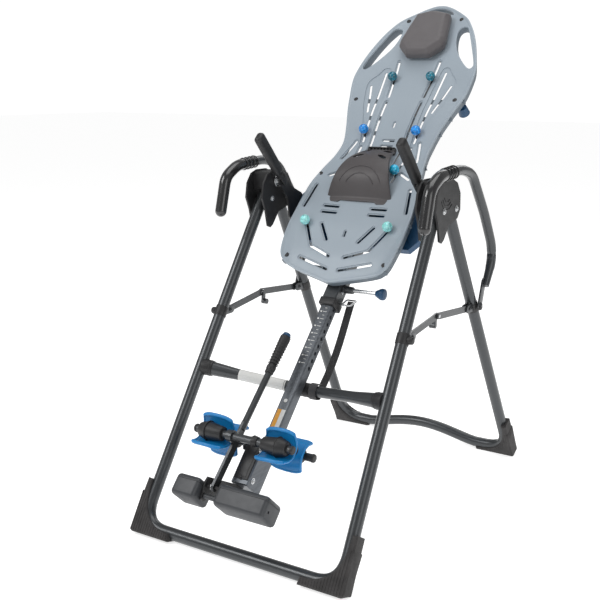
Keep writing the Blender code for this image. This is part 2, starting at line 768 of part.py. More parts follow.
BOW = ((-0.295, -0.032), (-0.243, -0.023), (-0.200, -0.015), (-0.140, -0.011),
       (-0.090, -0.006), (-0.020, -0.004), (0.050, 0.000), (0.120, -0.010),
       (0.180, -0.022), (0.250, -0.030), (0.310, -0.022), (0.380, -0.018),
       (0.440, -0.021), (0.550, -0.018), (0.600, -0.011), (0.700, -0.004),
       (0.847, 0.000))


def board_bow(y):
    """How far the board's front face lies above its level at the hips."""
    for (y0, h0), (y1, h1) in zip(BOW, BOW[1:]):
        if y <= stretched(y1):
            share = (y - stretched(y0)) / (stretched(y1) - stretched(y0))
            return h0 + (h1 - h0) * max(0.0, share)
    return BOW[-1][1]


def bend(mesh):
    """Give a flat plate the board's bow, with an edge at each of its stations."""
    for y, _ in BOW[1:-1]:
        bmesh.ops.bisect_plane(mesh, geom=mesh.verts[:] + mesh.edges[:] + mesh.faces[:],
                               plane_co=(0, stretched(y), 0), plane_no=(0, 1, 0))
    for vert in mesh.verts:
        vert.co.z += BED_FACE + board_bow(vert.co.y)
    bmesh.ops.triangulate(mesh, faces=[f for f in mesh.faces if len(f.verts) > 4])


def hand_holds():
    """The three hand openings round the head end."""
    side_hold = ((0.110, 0.7285), (0.134, 0.7285), (0.149, 0.694), (0.177, 0.628),
                 (0.198, 0.578), (0.202, 0.562), (0.190, 0.552), (0.150, 0.598),
                 (0.118, 0.650), (0.104, 0.705))
    top_hold = ((-0.060, 0.800), (-0.030, 0.8085), (0.0, 0.811), (0.030, 0.8085),
                (0.060, 0.800), (0.040, 0.819), (0.0, 0.829), (-0.040, 0.819))
    right = [(x * BOARD_WIDTH_SCALE, stretched(y)) for x, y in side_hold]
    left = [(-x, y) for x, y in right[::-1]]
    return [right, left, [(x * BOARD_WIDTH_SCALE, stretched(y)) for x, y in top_hold]]


SLOTS = {"upper": ((0.0645, 0.445), (0.0755, 0.592)),
         "long": ((0.055, 0.118), (0.0635, 0.420)),
         "middle": ((0.0925, 0.258), (0.110, 0.545)),
         "lumbar": ((0.086, 0.082), (0.090, 0.232)),
         "outer": ((0.118, 0.376), (0.147, 0.488)),
         "slant": ((0.135, 0.176), (0.115, 0.254)),
         "wing": ((0.105, 0.116), (0.140, 0.094)),
         "side": ((0.181, -0.034), (0.167, 0.048)),
         "dash_high": ((0.060, -0.026), (0.108, -0.026)),
         "dash_low": ((0.060, -0.049), (0.108, -0.049)),
         "inner": ((0.056, -0.146), (0.092, -0.093)),
         "lower": ((0.103, -0.170), (0.147, -0.093)),
         "kink": ((0.028, -0.202), (0.094, -0.179)),
         "foot": ((0.022, -0.244), (0.124, -0.217))}


def slot_line(name):
    """A slot's two ends on the right half of the board."""
    return [Vector((x * BOARD_WIDTH_SCALE, stretched(y))) for x, y in SLOTS[name]]


def add_board(parent):
    """The moulded board: a face, a rim all round, slots, and hand openings."""
    mesh = outline_mesh(board_outline(), BOARD_DEPTH)
    raise_mesh(mesh, -BOARD_DEPTH / 2)
    bend(mesh)
    board = from_bmesh("bed_board", mesh, bed_plastic(), parent)
    hollow_depth = BOARD_DEPTH - BOARD_FACE_THICKNESS + 0.010
    hollow = outline_mesh(board_outline(BOARD_RIM), hollow_depth)
    raise_mesh(hollow, -BOARD_FACE_THICKNESS - hollow_depth / 2)
    bend(hollow)
    cut(board, hollow)
    openings = bmesh.new()
    for loop in hand_holds():
        append(openings, outline_mesh(loop, 0.200))
    for name in SLOTS:
        start, end = slot_line(name)
        for side in (-1, 1):
            loop = slot_loop((side * start.x, start.y), (side * end.x, end.y), SLOT_WIDTH)
            append(openings, outline_mesh(loop, 0.200))
    raise_mesh(openings, BED_FACE)
    cut(board, openings)
    return board


# ---------------------------------------------------------------- bed frame
def add_bed_frame(parent):
    """The square tube under the board, the back pan, the hinge arms and their pins."""
    length = SLEEVE_UPPER - SLEEVE_LOWER
    middle = (SLEEVE_UPPER + SLEEVE_LOWER) / 2
    tube = from_bmesh("bed_frame_tube",
                      box_mesh((SLEEVE_SIZE, length, SLEEVE_SIZE), (0, middle, SHAFT_LEVEL),
                               0.003), frame_paint(), parent)
    bore = SHAFT_SIZE + 2 * SHAFT_CLEARANCE
    cut(tube, box_mesh((bore, length + 0.040, bore), (0, middle, SHAFT_LEVEL)))
    cut(tube, cross_rod(0.010, 0.040, SELECTOR_Y, SHAFT_LEVEL, SELECTOR_PIN_RADIUS + 0.0005,
                        14))
    add_back_pan(parent)
    for side in (-1, 1):
        add_hinge_arm(parent, side)


def pan_levels():
    """The back pan's underside on the tube, and its top under the board."""
    low = SHAFT_LEVEL + SLEEVE_SIZE / 2 + GAP
    dip = min(board_bow(BACK_PAN_LOWER), board_bow(BACK_PAN_UPPER))
    return low, BED_FACE - BOARD_DEPTH + dip - GAP * 2


def add_back_pan(parent):
    """The cross plate that carries the board and both hinge arms."""
    low, high = pan_levels()
    corner = 0.030
    wide = HINGE_ARM_X - GAP * 5
    right = [(wide - corner, BACK_PAN_LOWER), (wide, BACK_PAN_LOWER + corner * 1.5),
             (wide, BACK_PAN_UPPER - corner), (wide - corner, BACK_PAN_UPPER)]
    mesh = outline_mesh(right + [(-x, y) for x, y in right[::-1]], high - low)
    raise_mesh(mesh, (low + high) / 2)
    return from_bmesh("bed_back_pan", mesh, navy_paint(), parent)


def add_hinge_arm(parent, side):
    """A steel arm up the bed's side, with the pin that turns in the bracket."""
    low, high = pan_levels()
    x = side * (HINGE_ARM_X + HINGE_ARM_THICKNESS / 2)
    outline = [(-0.060, low), (0.040, low), (0.040, high + 0.010), (0.022, high + 0.060),
               (0.017, 0.004), (0.008, 0.016), (-0.008, 0.016), (-0.017, 0.004),
               (-0.022, high + 0.060), (-0.060, high + 0.010)]
    arm = from_bmesh(f"hinge_arm_{sided(side)}",
                     side_plate(outline, x, HINGE_ARM_THICKNESS), black_plastic(), parent)
    join(arm, cross_rod(x, side * HINGE_PIN_TIP, 0, 0, HINGE_PIN_RADIUS, 20))
    return arm


def add_side_grip(parent, side):
    """A padded paddle that stands out of the bed beside the hip, on a short stalk."""
    inner = HINGE_ARM_X - GAP
    x = side * (inner - SIDE_GRIP_THICKNESS / 2 + 0.014)
    mesh = box_mesh((SIDE_GRIP_THICKNESS, SIDE_GRIP_WIDTH, SIDE_GRIP_LENGTH),
                    (0, 0, SIDE_GRIP_LENGTH / 2), 0.010, 2)
    mesh.transform(Matrix.Translation((x, 0.012, 0.034)) @ Matrix.Rotation(radians(-4), 4, "X"))
    grip = from_bmesh(f"side_grip_{sided(side)}", mesh, black_plastic(), parent)
    join(grip, box_mesh((0.010, 0.026, 0.060), (side * (inner - 0.005), 0.004, 0.018), 0.002))
    return grip


# ---------------------------------------------------------------- bed fittings
def add_headrest(parent):
    """The six-sided head pad."""
    low, high, wide = HEADREST_LOWER, HEADREST_UPPER, HEADREST_HALF_WIDTH
    right = [(wide * 0.50, low), (wide * 0.96, low + 0.040), (wide, low + 0.062),
             (wide * 0.74, high - 0.012), (0.010, high)]
    mesh = outline_mesh(right + [(-x, y) for x, y in right[::-1]], HEADREST_THICKNESS)
    rims = [edge for edge in mesh.edges
            if min(edge.verts[0].co.z, edge.verts[1].co.z) > 0 and edge.calc_face_angle() > 1]
    bmesh.ops.bevel(mesh, geom=rims, offset=0.008, segments=1, affect="EDGES", profile=0.5)
    raise_mesh(mesh, BED_FACE + board_bow(high) + GAP + HEADREST_THICKNESS / 2)
    return from_bmesh("headrest_pad", mesh, head_foam(), parent)


def add_lumbar_bridge(parent):
    """The arched lumbar bridge, and the clip over its upper end."""
    steps = 10
    span = BRIDGE_UPPER - BRIDGE_LOWER
    shares = [k / steps for k in range(steps + 1)]
    right = [(BRIDGE_HALF_WIDTH * (1 - 0.60 * s ** 1.15), BRIDGE_LOWER + span * s)
             for s in shares]
    mesh = outline_mesh(right + [(-x, y) for x, y in right[::-1]], BRIDGE_THICKNESS)
    for share in shares[1:-1]:
        bmesh.ops.bisect_plane(mesh, geom=mesh.verts[:] + mesh.edges[:] + mesh.faces[:],
                               plane_co=(0, BRIDGE_LOWER + span * share, 0),
                               plane_no=(0, 1, 0))
    for vert in mesh.verts:
        share = (vert.co.y - BRIDGE_LOWER) / span
        base = BED_FACE + BRIDGE_THICKNESS / 2 + GAP * 4 + board_bow(vert.co.y)
        vert.co.z += base + BRIDGE_RISE * max(0.0, sin(pi * share)) ** 0.8
    bmesh.ops.triangulate(mesh, faces=[f for f in mesh.faces if len(f.verts) > 4])
    from_bmesh("lumbar_bridge", mesh, bridge_rubber(), parent)
    clip_y = BRIDGE_UPPER + 0.0125
    level = BED_FACE + board_bow(clip_y - 0.011) + GAP * 4
    from_bmesh("lumbar_clip", box_mesh((0.100, 0.022, 0.016), (0, clip_y, level + 0.008), 0.003),
               black_plastic(), parent)


def ball_places():
    """Each right-hand massage ball's place on the board, on its slot's centre line."""
    places = {}
    for name, y in (("upper", 0.516), ("middle", 0.291), ("lumbar", 0.120), ("lower", -0.096)):
        start, end = slot_line(name)
        share = (stretched(y) - start.y) / (end.y - start.y)
        places[name] = start.lerp(end, share)
    return places


def add_massage_ball(parent, name, x, y):
    """A ball on a stem that passes through its slot to a nut behind the board."""
    face = BED_FACE + board_bow(y)
    nut_top = face - BOARD_FACE_THICKNESS - 0.0035
    centre = Vector((x, y, face + BALL_RADIUS + BALL_CLEARANCE))
    ball = from_bmesh(name, ball_mesh(centre, BALL_RADIUS), cup_blue(), parent, centre)
    join(ball, rod_mesh((x, y, nut_top - BALL_NUT_THICKNESS / 2), centre, BALL_STEM_RADIUS, 10))
    join(ball, rod_mesh((x, y, nut_top - BALL_NUT_THICKNESS), (x, y, nut_top),
                        BALL_NUT_RADIUS, 14))
    return ball


def add_rear_knob(parent):
    """The blue knob behind the right shoulder, on its post."""
    x, y = 0.190, stretched(0.436)
    top = BED_FACE + board_bow(y) - BOARD_FACE_THICKNESS - GAP * 2
    low = BED_FACE - BOARD_DEPTH - 0.056
    knob = from_bmesh("rear_knob", rod_mesh((x, y, low), (x, y, low + 0.030), 0.0185, 18,
                                            0.0150), cup_blue(), parent)
    join(knob, rod_mesh((x, y, low + 0.020), (x, y, top), 0.006, 12))
    return knob


def add_tether_eye(parent):
    """The bent wire eye on the bed frame that the tether hooks to."""
    edge = SLEEVE_SIZE / 2 + TETHER_EYE_RADIUS + GAP
    inner = TETHER_X - TETHER_WIDTH / 2 - 0.0045
    outer = TETHER_X + TETHER_WIDTH / 2 + 0.0045
    y, z = TETHER_EYE_Y, TETHER_EYE_Z
    path = [(edge, y - 0.034, z + 0.027), (outer - 0.006, y - 0.034, z + 0.027),
            (outer, y - 0.030, z + 0.024), (outer, y - 0.004, z + 0.003),
            (outer - 0.003, y, z), (inner + 0.003, y, z), (inner, y - 0.004, z + 0.003),
            (inner, y - 0.022, z + 0.014), (edge, y - 0.026, z + 0.016)]
    return from_bmesh("tether_eye", curve_mesh(path, TETHER_EYE_RADIUS, 2), bolt_steel(),
                      parent)


# ---------------------------------------------------------------- shaft and selector
def add_shaft(parent):
    """The sliding square shaft with its row of height holes on the right."""
    shaft = from_bmesh("main_shaft",
                       box_mesh((SHAFT_SIZE, SHAFT_UPPER - SHAFT_LOWER, SHAFT_SIZE),
                                (0, (SHAFT_UPPER + SHAFT_LOWER) / 2, SHAFT_LEVEL), 0.003),
                       shaft_steel(), parent)
    holes = bmesh.new()
    for k in range(-SHAFT_HOLES_ABOVE, SHAFT_HOLES_BELOW + 1):
        y = SELECTOR_Y - k * SHAFT_HOLE_PITCH
        append(holes, cross_rod(0.008, 0.030, y, SHAFT_LEVEL, SHAFT_HOLE_RADIUS, 10))
    cut(shaft, holes)
    return shaft


def add_selector(parent):
    """The spring pin that locks the shaft, and its flared pull knob."""
    tip = (SHAFT_SIZE / 2 + GAP, SELECTOR_Y, SHAFT_LEVEL)
    neck = SELECTOR_REACH - SELECTOR_KNOB_LENGTH
    rod = from_bmesh("selector_rod", rod_mesh(tip, (0.040, SELECTOR_Y, SHAFT_LEVEL),
                                              SELECTOR_PIN_RADIUS, 12),
                     black_plastic(), parent, tip)
    join(rod, cross_rod(SLEEVE_SIZE / 2 + 0.001, neck, SELECTOR_Y, SHAFT_LEVEL,
                        SELECTOR_ROD_RADIUS, 14))
    knob = rod_mesh((neck + GAP, SELECTOR_Y, SHAFT_LEVEL),
                    (SELECTOR_REACH, SELECTOR_Y, SHAFT_LEVEL), 0.0090, 20,
                    SELECTOR_KNOB_RADIUS)
    from_bmesh("selector_knob", knob, cup_blue(), parent, tip)


# ---------------------------------------------------------------- ankle lock
def add_carriage(parent):
    """The block on the shaft's foot that carries the rear rod and both pivots."""
    low = SHAFT_LEVEL + SHAFT_SIZE / 2 + GAP
    size = (CARRIAGE_RIGHT - CARRIAGE_LEFT, CARRIAGE_UPPER - CARRIAGE_LOWER,
            CARRIAGE_FRONT - low)
    centre = ((CARRIAGE_RIGHT + CARRIAGE_LEFT) / 2, (CARRIAGE_UPPER + CARRIAGE_LOWER) / 2,
              (CARRIAGE_FRONT + low) / 2)
    carriage = from_bmesh("ankle_carriage", box_mesh(size, centre, 0.003), shaft_steel(),
                          parent)
    cut(carriage, cross_rod(-0.06, 0.06, REAR_ROD_Y, REAR_ROD_Z, ANKLE_ROD_RADIUS + GAP))
    return carriage


def add_footrest_bracket(parent):
    """Two cheeks and a web that hold the footrest's axle and the lever's pin."""
    axle = (FOOTREST_AXLE_Y, FOOTREST_AXLE_Z)
    lever = (LEVER_PIVOT_Y, LEVER_PIVOT_Z)
    near = CARRIAGE_LOWER - GAP
    outline = [(near, SHAFT_LEVEL + 0.024), (near, CARRIAGE_FRONT - 0.012),
               (lever[0] + 0.022, lever[1] + 0.010), (lever[0] + 0.004, lever[1] + 0.014),
               (lever[0] - 0.010, lever[1] + 0.010), (axle[0] - 0.012, axle[1] + 0.008),
               (axle[0] - 0.015, axle[1] - 0.004), (axle[0] - 0.006, axle[1] - 0.014),
               (near - 0.030, SHAFT_LEVEL + 0.024)]
    left = FOOTREST_SLOT_LEFT + 0.002 + BRACKET_CHEEK / 2
    right = FOOTREST_SLOT_RIGHT - 0.002 - BRACKET_CHEEK / 2
    holes = (circle(axle, FOOTREST_AXLE_RADIUS + 0.0004, 14),)
    bracket = from_bmesh("footrest_bracket", side_plate(outline, left, BRACKET_CHEEK, holes),
                         black_plastic(), parent)
    join(bracket, side_plate(outline, right, BRACKET_CHEEK, holes))
    join(bracket, cross_rod(left, right, *lever, LEVER_PIN_RADIUS, 12))
    join(bracket, box_mesh((right - left, 0.018, 0.026),
                           ((left + right) / 2, near - 0.014, SHAFT_LEVEL + 0.044)))
    return bracket


def add_footrest(parent):
    """The foot platform in two halves on one axle, turned over to set its height."""
    axle = (FOOTREST_AXLE_Y, FOOTREST_AXLE_Z)
    halves = []
    for low, high in ((-FOOTREST_HALF_WIDTH, FOOTREST_SLOT_LEFT),
                      (FOOTREST_SLOT_RIGHT, FOOTREST_HALF_WIDTH)):
        halves.append(box_mesh((high - low, FOOTREST_DEPTH, FOOTREST_HEIGHT),
                               ((low + high) / 2, FOOTREST_Y, FOOTREST_Z), 0.014, 2))
    rest = from_bmesh("footrest", halves[0], boot_rubber(), parent, (0, *axle))
    join(rest, halves[1])
    join(rest, cross_rod(FOOTREST_SLOT_LEFT - 0.01, FOOTREST_SLOT_RIGHT + 0.01, *axle,
                         FOOTREST_AXLE_RADIUS, 14))
    return rest


def lever_point(distance):
    """A place on the lever's centre line, measured from its pivot."""
    return Vector((LEVER_X, LEVER_PIVOT_Y + distance * cos(LEVER_LEAN),
                   LEVER_PIVOT_Z - distance * sin(LEVER_LEAN)))


def lever_length():
    return (LEVER_TOP_Y - LEVER_PIVOT_Y) / cos(LEVER_LEAN)


def add_lever(parent):
    """The long ankle-lock lever: flat plate, round rod, rod boss and grip."""
    pivot = (LEVER_PIVOT_Y, LEVER_PIVOT_Z)
    front_rod = (FRONT_ROD_Y, FRONT_ROD_Z)
    plate_end = lever_point(LEVER_PLATE_LENGTH)
    rod_end = lever_length() - 0.016
    hole = circle(pivot, LEVER_PIN_RADIUS + 0.0004, 12)
    lever = from_bmesh("ankle_lever",
                       side_plate(slot_loop(pivot, (plate_end.y, plate_end.z),
                                            LEVER_PLATE_WIDTH, arc=5), LEVER_X,
                                  LEVER_PLATE_THICKNESS, (hole,)), frame_paint(), parent)
    join(lever, rod_mesh(lever_point(LEVER_PLATE_LENGTH - 0.020), lever_point(rod_end),
                         LEVER_ROD_RADIUS, 14))
    stem = (FRONT_ROD_Y + 0.004, lever_point(FRONT_ROD_Y - LEVER_PIVOT_Y).z)
    join(lever, side_plate(slot_loop(front_rod, stem, 0.030, arc=5), LEVER_X, 0.0072))
    join(lever, cross_rod(LEVER_X - 0.009, LEVER_X + 0.009, *front_rod,
                          ANKLE_ROD_RADIUS + 0.006, 18))
    cut(lever, cross_rod(LEVER_X - 0.02, LEVER_X + 0.02, *front_rod, ANKLE_ROD_RADIUS + GAP))
    cut(lever, rod_mesh(lever_point(rod_end - 0.020), lever_point(rod_end + 0.02), 0.0055, 12))
    grip_start = lever_length() - LEVER_GRIP_LENGTH
    grip = from_bmesh("lever_grip",
                      rod_mesh(lever_point(grip_start), lever_point(lever_length()), 0.0145, 16,
                               LEVER_GRIP_RADIUS), grip_vinyl(), parent)
    cut(grip, rod_mesh(lever_point(grip_start - 0.02), lever_point(rod_end + 0.0005),
                       LEVER_ROD_RADIUS + GAP, 14))
    cut(grip, rod_mesh(lever_point(rod_end - 0.01), lever_point(lever_length() + 0.02),
                       BUTTON_RADIUS + 0.0006, 16))


def add_lever_button(parent):
    """The release button in the lever's end, with its stem."""
    low = lever_length() - 0.016 + BUTTON_SEAT
    button = from_bmesh("lever_button",
                        rod_mesh(lever_point(low), lever_point(lever_length() + BUTTON_STANDOUT),
                                 BUTTON_RADIUS, 16, BUTTON_RADIUS * 0.86), navy_paint(), parent,
                        lever_point(low))
    join(button, rod_mesh(lever_point(low - 0.016), lever_point(low + 0.004), 0.0046, 12))
    return button


def saddle_mesh(centre_x, rod_y, rod_z, facing):
    """A saddle that cradles an ankle, curling away at its rims."""
    made = bmesh.new()
    bmesh.ops.create_grid(made, x_segments=6, y_segments=6, size=1.0)
    for vert in made.verts:
        across, along = vert.co.x, vert.co.y
        rim = CUP_RIM_CURL * abs(along) ** 2.6 - CUP_WRAP * across ** 2
        vert.co = Vector((centre_x + across * CUP_HALF_WIDTH, rod_y + along * CUP_HALF_HEIGHT,
                          rod_z + facing * (rim - CUP_HUB_RADIUS + 0.005)))
    thick = bmesh.ops.extrude_face_region(made, geom=made.faces[:])
    for item in thick["geom"]:
        if isinstance(item, bmesh.types.BMVert):
            item.co.z -= facing * CUP_THICKNESS
    return made


def add_cup(name, side, rod_y, rod_z, facing, parent):
    """One ankle cup: the saddle and the round hub that turns on its rod."""
    centre = side * CUP_CENTRE_X
    hub = cross_rod(centre - CUP_HUB_HALF_LENGTH, centre + CUP_HUB_HALF_LENGTH, rod_y, rod_z,
                    CUP_HUB_RADIUS, 20)
    cup = from_bmesh(name, hub, cup_blue(), parent, (0, rod_y, rod_z))
    join(cup, saddle_mesh(centre, rod_y, rod_z, facing))
    cut(cup, cross_rod(centre - 0.08, centre + 0.08, rod_y, rod_z, ANKLE_ROD_RADIUS + 0.0005,
                       20))
    return cup


def add_ankle_rods(shaft, lever):
    """The front rod on the lever and the rear rod on the carriage."""
    from_bmesh("front_ankle_rod",
               cross_rod(-FRONT_ROD_HALF_LENGTH, FRONT_ROD_HALF_LENGTH, FRONT_ROD_Y,
                         FRONT_ROD_Z, ANKLE_ROD_RADIUS), frame_paint(), lever)
    from_bmesh("rear_ankle_rod",
               cross_rod(-REAR_ROD_HALF_LENGTH, REAR_ROD_HALF_LENGTH, REAR_ROD_Y, REAR_ROD_Z,
                         ANKLE_ROD_RADIUS), black_plastic(), shaft)
    for side in (-1, 1):
        add_cup(f"front_cup_{sided(side)}", side, FRONT_ROD_Y, FRONT_ROD_Z, 1, lever)
        add_cup(f"rear_cup_{sided(side)}", side, REAR_ROD_Y, REAR_ROD_Z, -1, shaft)


# ---------------------------------------------------------------- tether
def ribbon_mesh(path, width, thickness, x_centre):
    """A flat strap that follows a (y, z) path, as a closed solid."""
    left = []
    right = []
    for index, here in enumerate(path):
        before = path[max(index - 1, 0)]
        after = path[min(index + 1, len(path) - 1)]
        along = (after - before).normalized()
        across = Vector((-along.y, along.x)) * thickness / 2
        left.append(here + across)
        right.append(here - across)
    return side_plate(left + right[::-1], x_centre, width)


def add_tether():
    """The safety strap from the wire eye to its loop round the crossbar."""
    centre = crossbar_point(TETHER_X)
    bar = centre.yz
    ring = CROSSBAR_RADIUS + TETHER_BAR_CLEARANCE + TETHER_THICKNESS / 2
    eye = Vector(to_world(TETHER_EYE_Y, TETHER_EYE_Z))
    toward = (eye - bar).normalized()
    normal = Vector((toward.y, -toward.x))
    reach = (eye - bar).length - TETHER_EYE_RADIUS - 0.0015
    path = [bar + toward * reach]
    for k in range(1, 9):
        share = k / 9
        sag = 0.030 * sin(pi * share * 0.72) ** 1.3
        path.append(bar + toward * (reach * (1 - share) + 0.004) + normal * sag)
    start = atan2(normal.y, normal.x) - 0.12
    for k in range(8):
        angle = start - 2 * pi * 0.72 * k / 7
        path.append(bar + Vector((cos(angle), sin(angle))) * ring)
    from_bmesh("tether_strap", ribbon_mesh(path, TETHER_WIDTH, TETHER_THICKNESS, TETHER_X),
               webbing(), frame_axes(), (0, bar.x, bar.y))


# ---------------------------------------------------------------- assembly
def build():
    """Make the whole table."""
    clear_scene()
    axis_empty("frame_axes", (0, PIVOT_Y, 0), own_axes=True)
    add_front_frame()
    rear = add_rear_frame()
    add_spreaders(rear)
    bed = axis_empty("bed_tilt_axis", (0, 0, PIVOT_HEIGHT), frame_axes(), BED_ANGLE,
                     own_axes=True)
    add_board(bed)
    add_bed_frame(bed)
    add_headrest(bed)
    add_lumbar_bridge(bed)
    add_rear_knob(bed)
    add_tether_eye(bed)
    for side in (-1, 1):
        add_side_grip(bed, side)
        for name, place in ball_places().items():
            add_massage_ball(bed, f"ball_{name}_{sided(side)}", side * place.x, place.y)
    add_selector(bed)
    shaft = axis_empty("shaft_slide_axis", (0, 0, SHAFT_LEVEL), bed)
    add_shaft(shaft)
    add_carriage(shaft)
    add_footrest_bracket(shaft)
    add_footrest(shaft)
    lever = axis_empty("lever_axis", (LEVER_X, LEVER_PIVOT_Y, LEVER_PIVOT_Z), shaft)
    add_lever(lever)
    add_lever_button(lever)
    add_ankle_rods(shaft, lever)
    add_tether()
    bpy.context.view_layer.update()


build()
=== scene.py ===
"""Inversion table: the looks of every piece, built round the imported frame.

Metres, +Z up. X runs across the table and -Y is the foot end. Pieces of the bed, the
shaft and the ankle lock are drawn in the bed's own axes, where Y runs up the bed, Z
stands out of its front and zero is the pivot, and are then laid at the bed's angle.
"""
import json
from math import atan2, cos, exp, pi, radians, sin, sqrt

import bpy
from mathutils import Matrix, Vector


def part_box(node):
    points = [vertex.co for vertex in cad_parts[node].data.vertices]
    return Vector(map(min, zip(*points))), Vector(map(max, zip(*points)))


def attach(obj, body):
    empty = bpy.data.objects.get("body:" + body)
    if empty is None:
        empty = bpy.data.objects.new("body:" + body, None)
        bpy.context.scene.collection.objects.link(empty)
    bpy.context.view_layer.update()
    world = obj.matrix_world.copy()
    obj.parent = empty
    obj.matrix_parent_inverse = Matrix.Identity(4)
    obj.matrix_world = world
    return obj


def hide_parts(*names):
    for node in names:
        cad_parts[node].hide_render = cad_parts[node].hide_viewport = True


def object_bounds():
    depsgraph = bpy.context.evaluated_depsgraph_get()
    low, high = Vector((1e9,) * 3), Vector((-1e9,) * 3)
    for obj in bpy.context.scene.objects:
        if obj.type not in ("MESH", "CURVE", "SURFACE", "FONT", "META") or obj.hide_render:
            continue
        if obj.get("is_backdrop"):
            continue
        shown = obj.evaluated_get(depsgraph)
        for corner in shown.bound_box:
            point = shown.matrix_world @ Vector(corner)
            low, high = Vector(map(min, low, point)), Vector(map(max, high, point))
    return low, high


bl_info = {
    "name": "Inversion Table Looks",
    "version": (1, 0, 0),
    "blender": (4, 5, 0),
    "location": "3D View > Sidebar > Table",
    "description": "Builds the detailed pieces and finishes of an inversion table",
    "category": "Add Mesh",
}

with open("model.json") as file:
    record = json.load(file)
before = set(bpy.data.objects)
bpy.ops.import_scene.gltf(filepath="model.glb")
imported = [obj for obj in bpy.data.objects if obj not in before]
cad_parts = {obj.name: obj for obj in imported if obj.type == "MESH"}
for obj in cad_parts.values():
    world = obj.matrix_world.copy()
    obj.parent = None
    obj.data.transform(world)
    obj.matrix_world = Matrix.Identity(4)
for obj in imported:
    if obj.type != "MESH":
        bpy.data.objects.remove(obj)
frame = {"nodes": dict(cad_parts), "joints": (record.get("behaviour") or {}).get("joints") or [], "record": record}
CAD_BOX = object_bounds()
JOINTS = {joint["name"]: joint for joint in frame["joints"]}
SIDES = ((-1, "left"), (1, "right"))
CROSSBAR_HEIGHT = 0.444      # where the crossbar meets the front legs
TAB_HEIGHT = 0.607           # where a traction handle is screwed to its rear leg
HANDLE_X = 0.3470
LUG_X, KNEE_X = 0.3165, 0.3137
ARM_FACE_X = 0.2457          # outer face of the hinge arms
FOOT_AXLE = (-1.020, -0.062)


def joint_place(name):
    return Vector(JOINTS[name]["pos_m"])


def joint_axis(name):
    return Vector(JOINTS[name]["axis"])


PIVOT = joint_place("bed_tilt")
BED_ANGLE = atan2(joint_axis("shaft_slide").z, joint_axis("shaft_slide").y)
BED = Matrix.Translation(PIVOT) @ Matrix.Rotation(BED_ANGLE, 4, "X")
UPRIGHT = Matrix(((0, 0, 1, 0), (1, 0, 0, 0), (0, 1, 0, 0), (0, 0, 0, 1)))


def bed_box(node):
    """A node's lowest and highest corners in the bed's own axes."""
    turned = BED.inverted()
    points = [turned @ v.co for v in frame["nodes"][node].data.vertices]
    low = Vector([min(p[k] for p in points) for k in range(3)])
    high = Vector([max(p[k] for p in points) for k in range(3)])
    return low, high


# ---------------------------------------------------------------- settings
def colour(name, description, value):
    return bpy.props.FloatVectorProperty(name=name, description=description,
                                         subtype="COLOR", size=3, min=0, max=1,
                                         default=value)


def length(name, description, value):
    return bpy.props.FloatProperty(name=name, description=description, default=value,
                                   unit="LENGTH", subtype="DISTANCE", min=0.0, precision=4)


class TableColours(bpy.types.PropertyGroup):
    """The colours of the table's finishes."""
    frame: colour("Frame paint", "Gunmetal paint of the tubes", (0.050, 0.054, 0.058))
    black: colour("Black plastic", "Brackets, collars and knobs", (0.012, 0.012, 0.013))
    boot: colour("Boot rubber", "Corner boots", (0.030, 0.028, 0.028))
    vinyl: colour("Grip vinyl", "Dipped handle grips", (0.012, 0.012, 0.013))
    bed: colour("Bed face", "Face of the bed board", (0.300, 0.352, 0.400))
    # Painted shade: a darker copy of the bed face colour, laid on the board's walls, ribs and underside to stand
    # in for their shade.
    bed_painted_shade: colour("Bed side", "Walls and underside of the bed board",
                     (0.130, 0.162, 0.192))
    navy: colour("Bed casing", "Casing under the bed", (0.010, 0.060, 0.140))
    cup: colour("Ankle cups", "Moulded ankle cups", (0.005, 0.205, 0.520))
    foam: colour("Head rest", "Skin of the head rest", (0.098, 0.090, 0.094))
    bridge: colour("Lumbar bridge", "Flexible lumbar bridge", (0.062, 0.056, 0.058))
    shaft: colour("Shaft", "Enamel of the main shaft", (0.105, 0.115, 0.128))
    steel: colour("Bolts", "Bright steel", (0.620, 0.630, 0.640))
    platform: colour("Foot platform", "Moulded foot platform", (0.042, 0.045, 0.050))
    webbing: colour("Webbing", "Tether webbing", (0.016, 0.016, 0.018))
    white: colour("Marks", "Scale marks and plain labels", (0.72, 0.72, 0.70))
    amber: colour("Stripe", "Plain amber stripe", (0.80, 0.36, 0.03))
    ball_upper: colour("Upper balls", "Dark teal balls", (0.008, 0.130, 0.190))
    ball_middle: colour("Middle balls", "Bright blue balls", (0.010, 0.230, 0.700))
    ball_lumbar: colour("Lumbar balls", "Cyan balls", (0.020, 0.400, 0.640))
    ball_lower: colour("Lower balls", "Pale cyan balls", (0.290, 0.760, 0.740))


class TableSizes(bpy.types.PropertyGroup):
    """The sizes that the detailed pieces are drawn with."""
    tube: length("Tube radius", "Radius of the leg tubes", 0.0180)
    corner: length("Corner bend", "Reach of the bend from leg to floor bar", 0.085)
    board_wall: length("Board wall", "Depth of the bed board's outer wall", 0.034)
    board_face: length("Board face", "Thickness of the board's face", 0.0070)
    slot_groove: length("Groove width", "Width of the groove round each slot", 0.0150)
    slot_width: length("Slot width", "Width of the open slots", 0.0078)
    recess: length("Recess", "Depth of the grooves in the board", 0.0026)
    grip: length("Grip radius", "Radius of the handle grips", 0.0178)


def settings():
    return bpy.context.scene.table_colours, bpy.context.scene.table_sizes


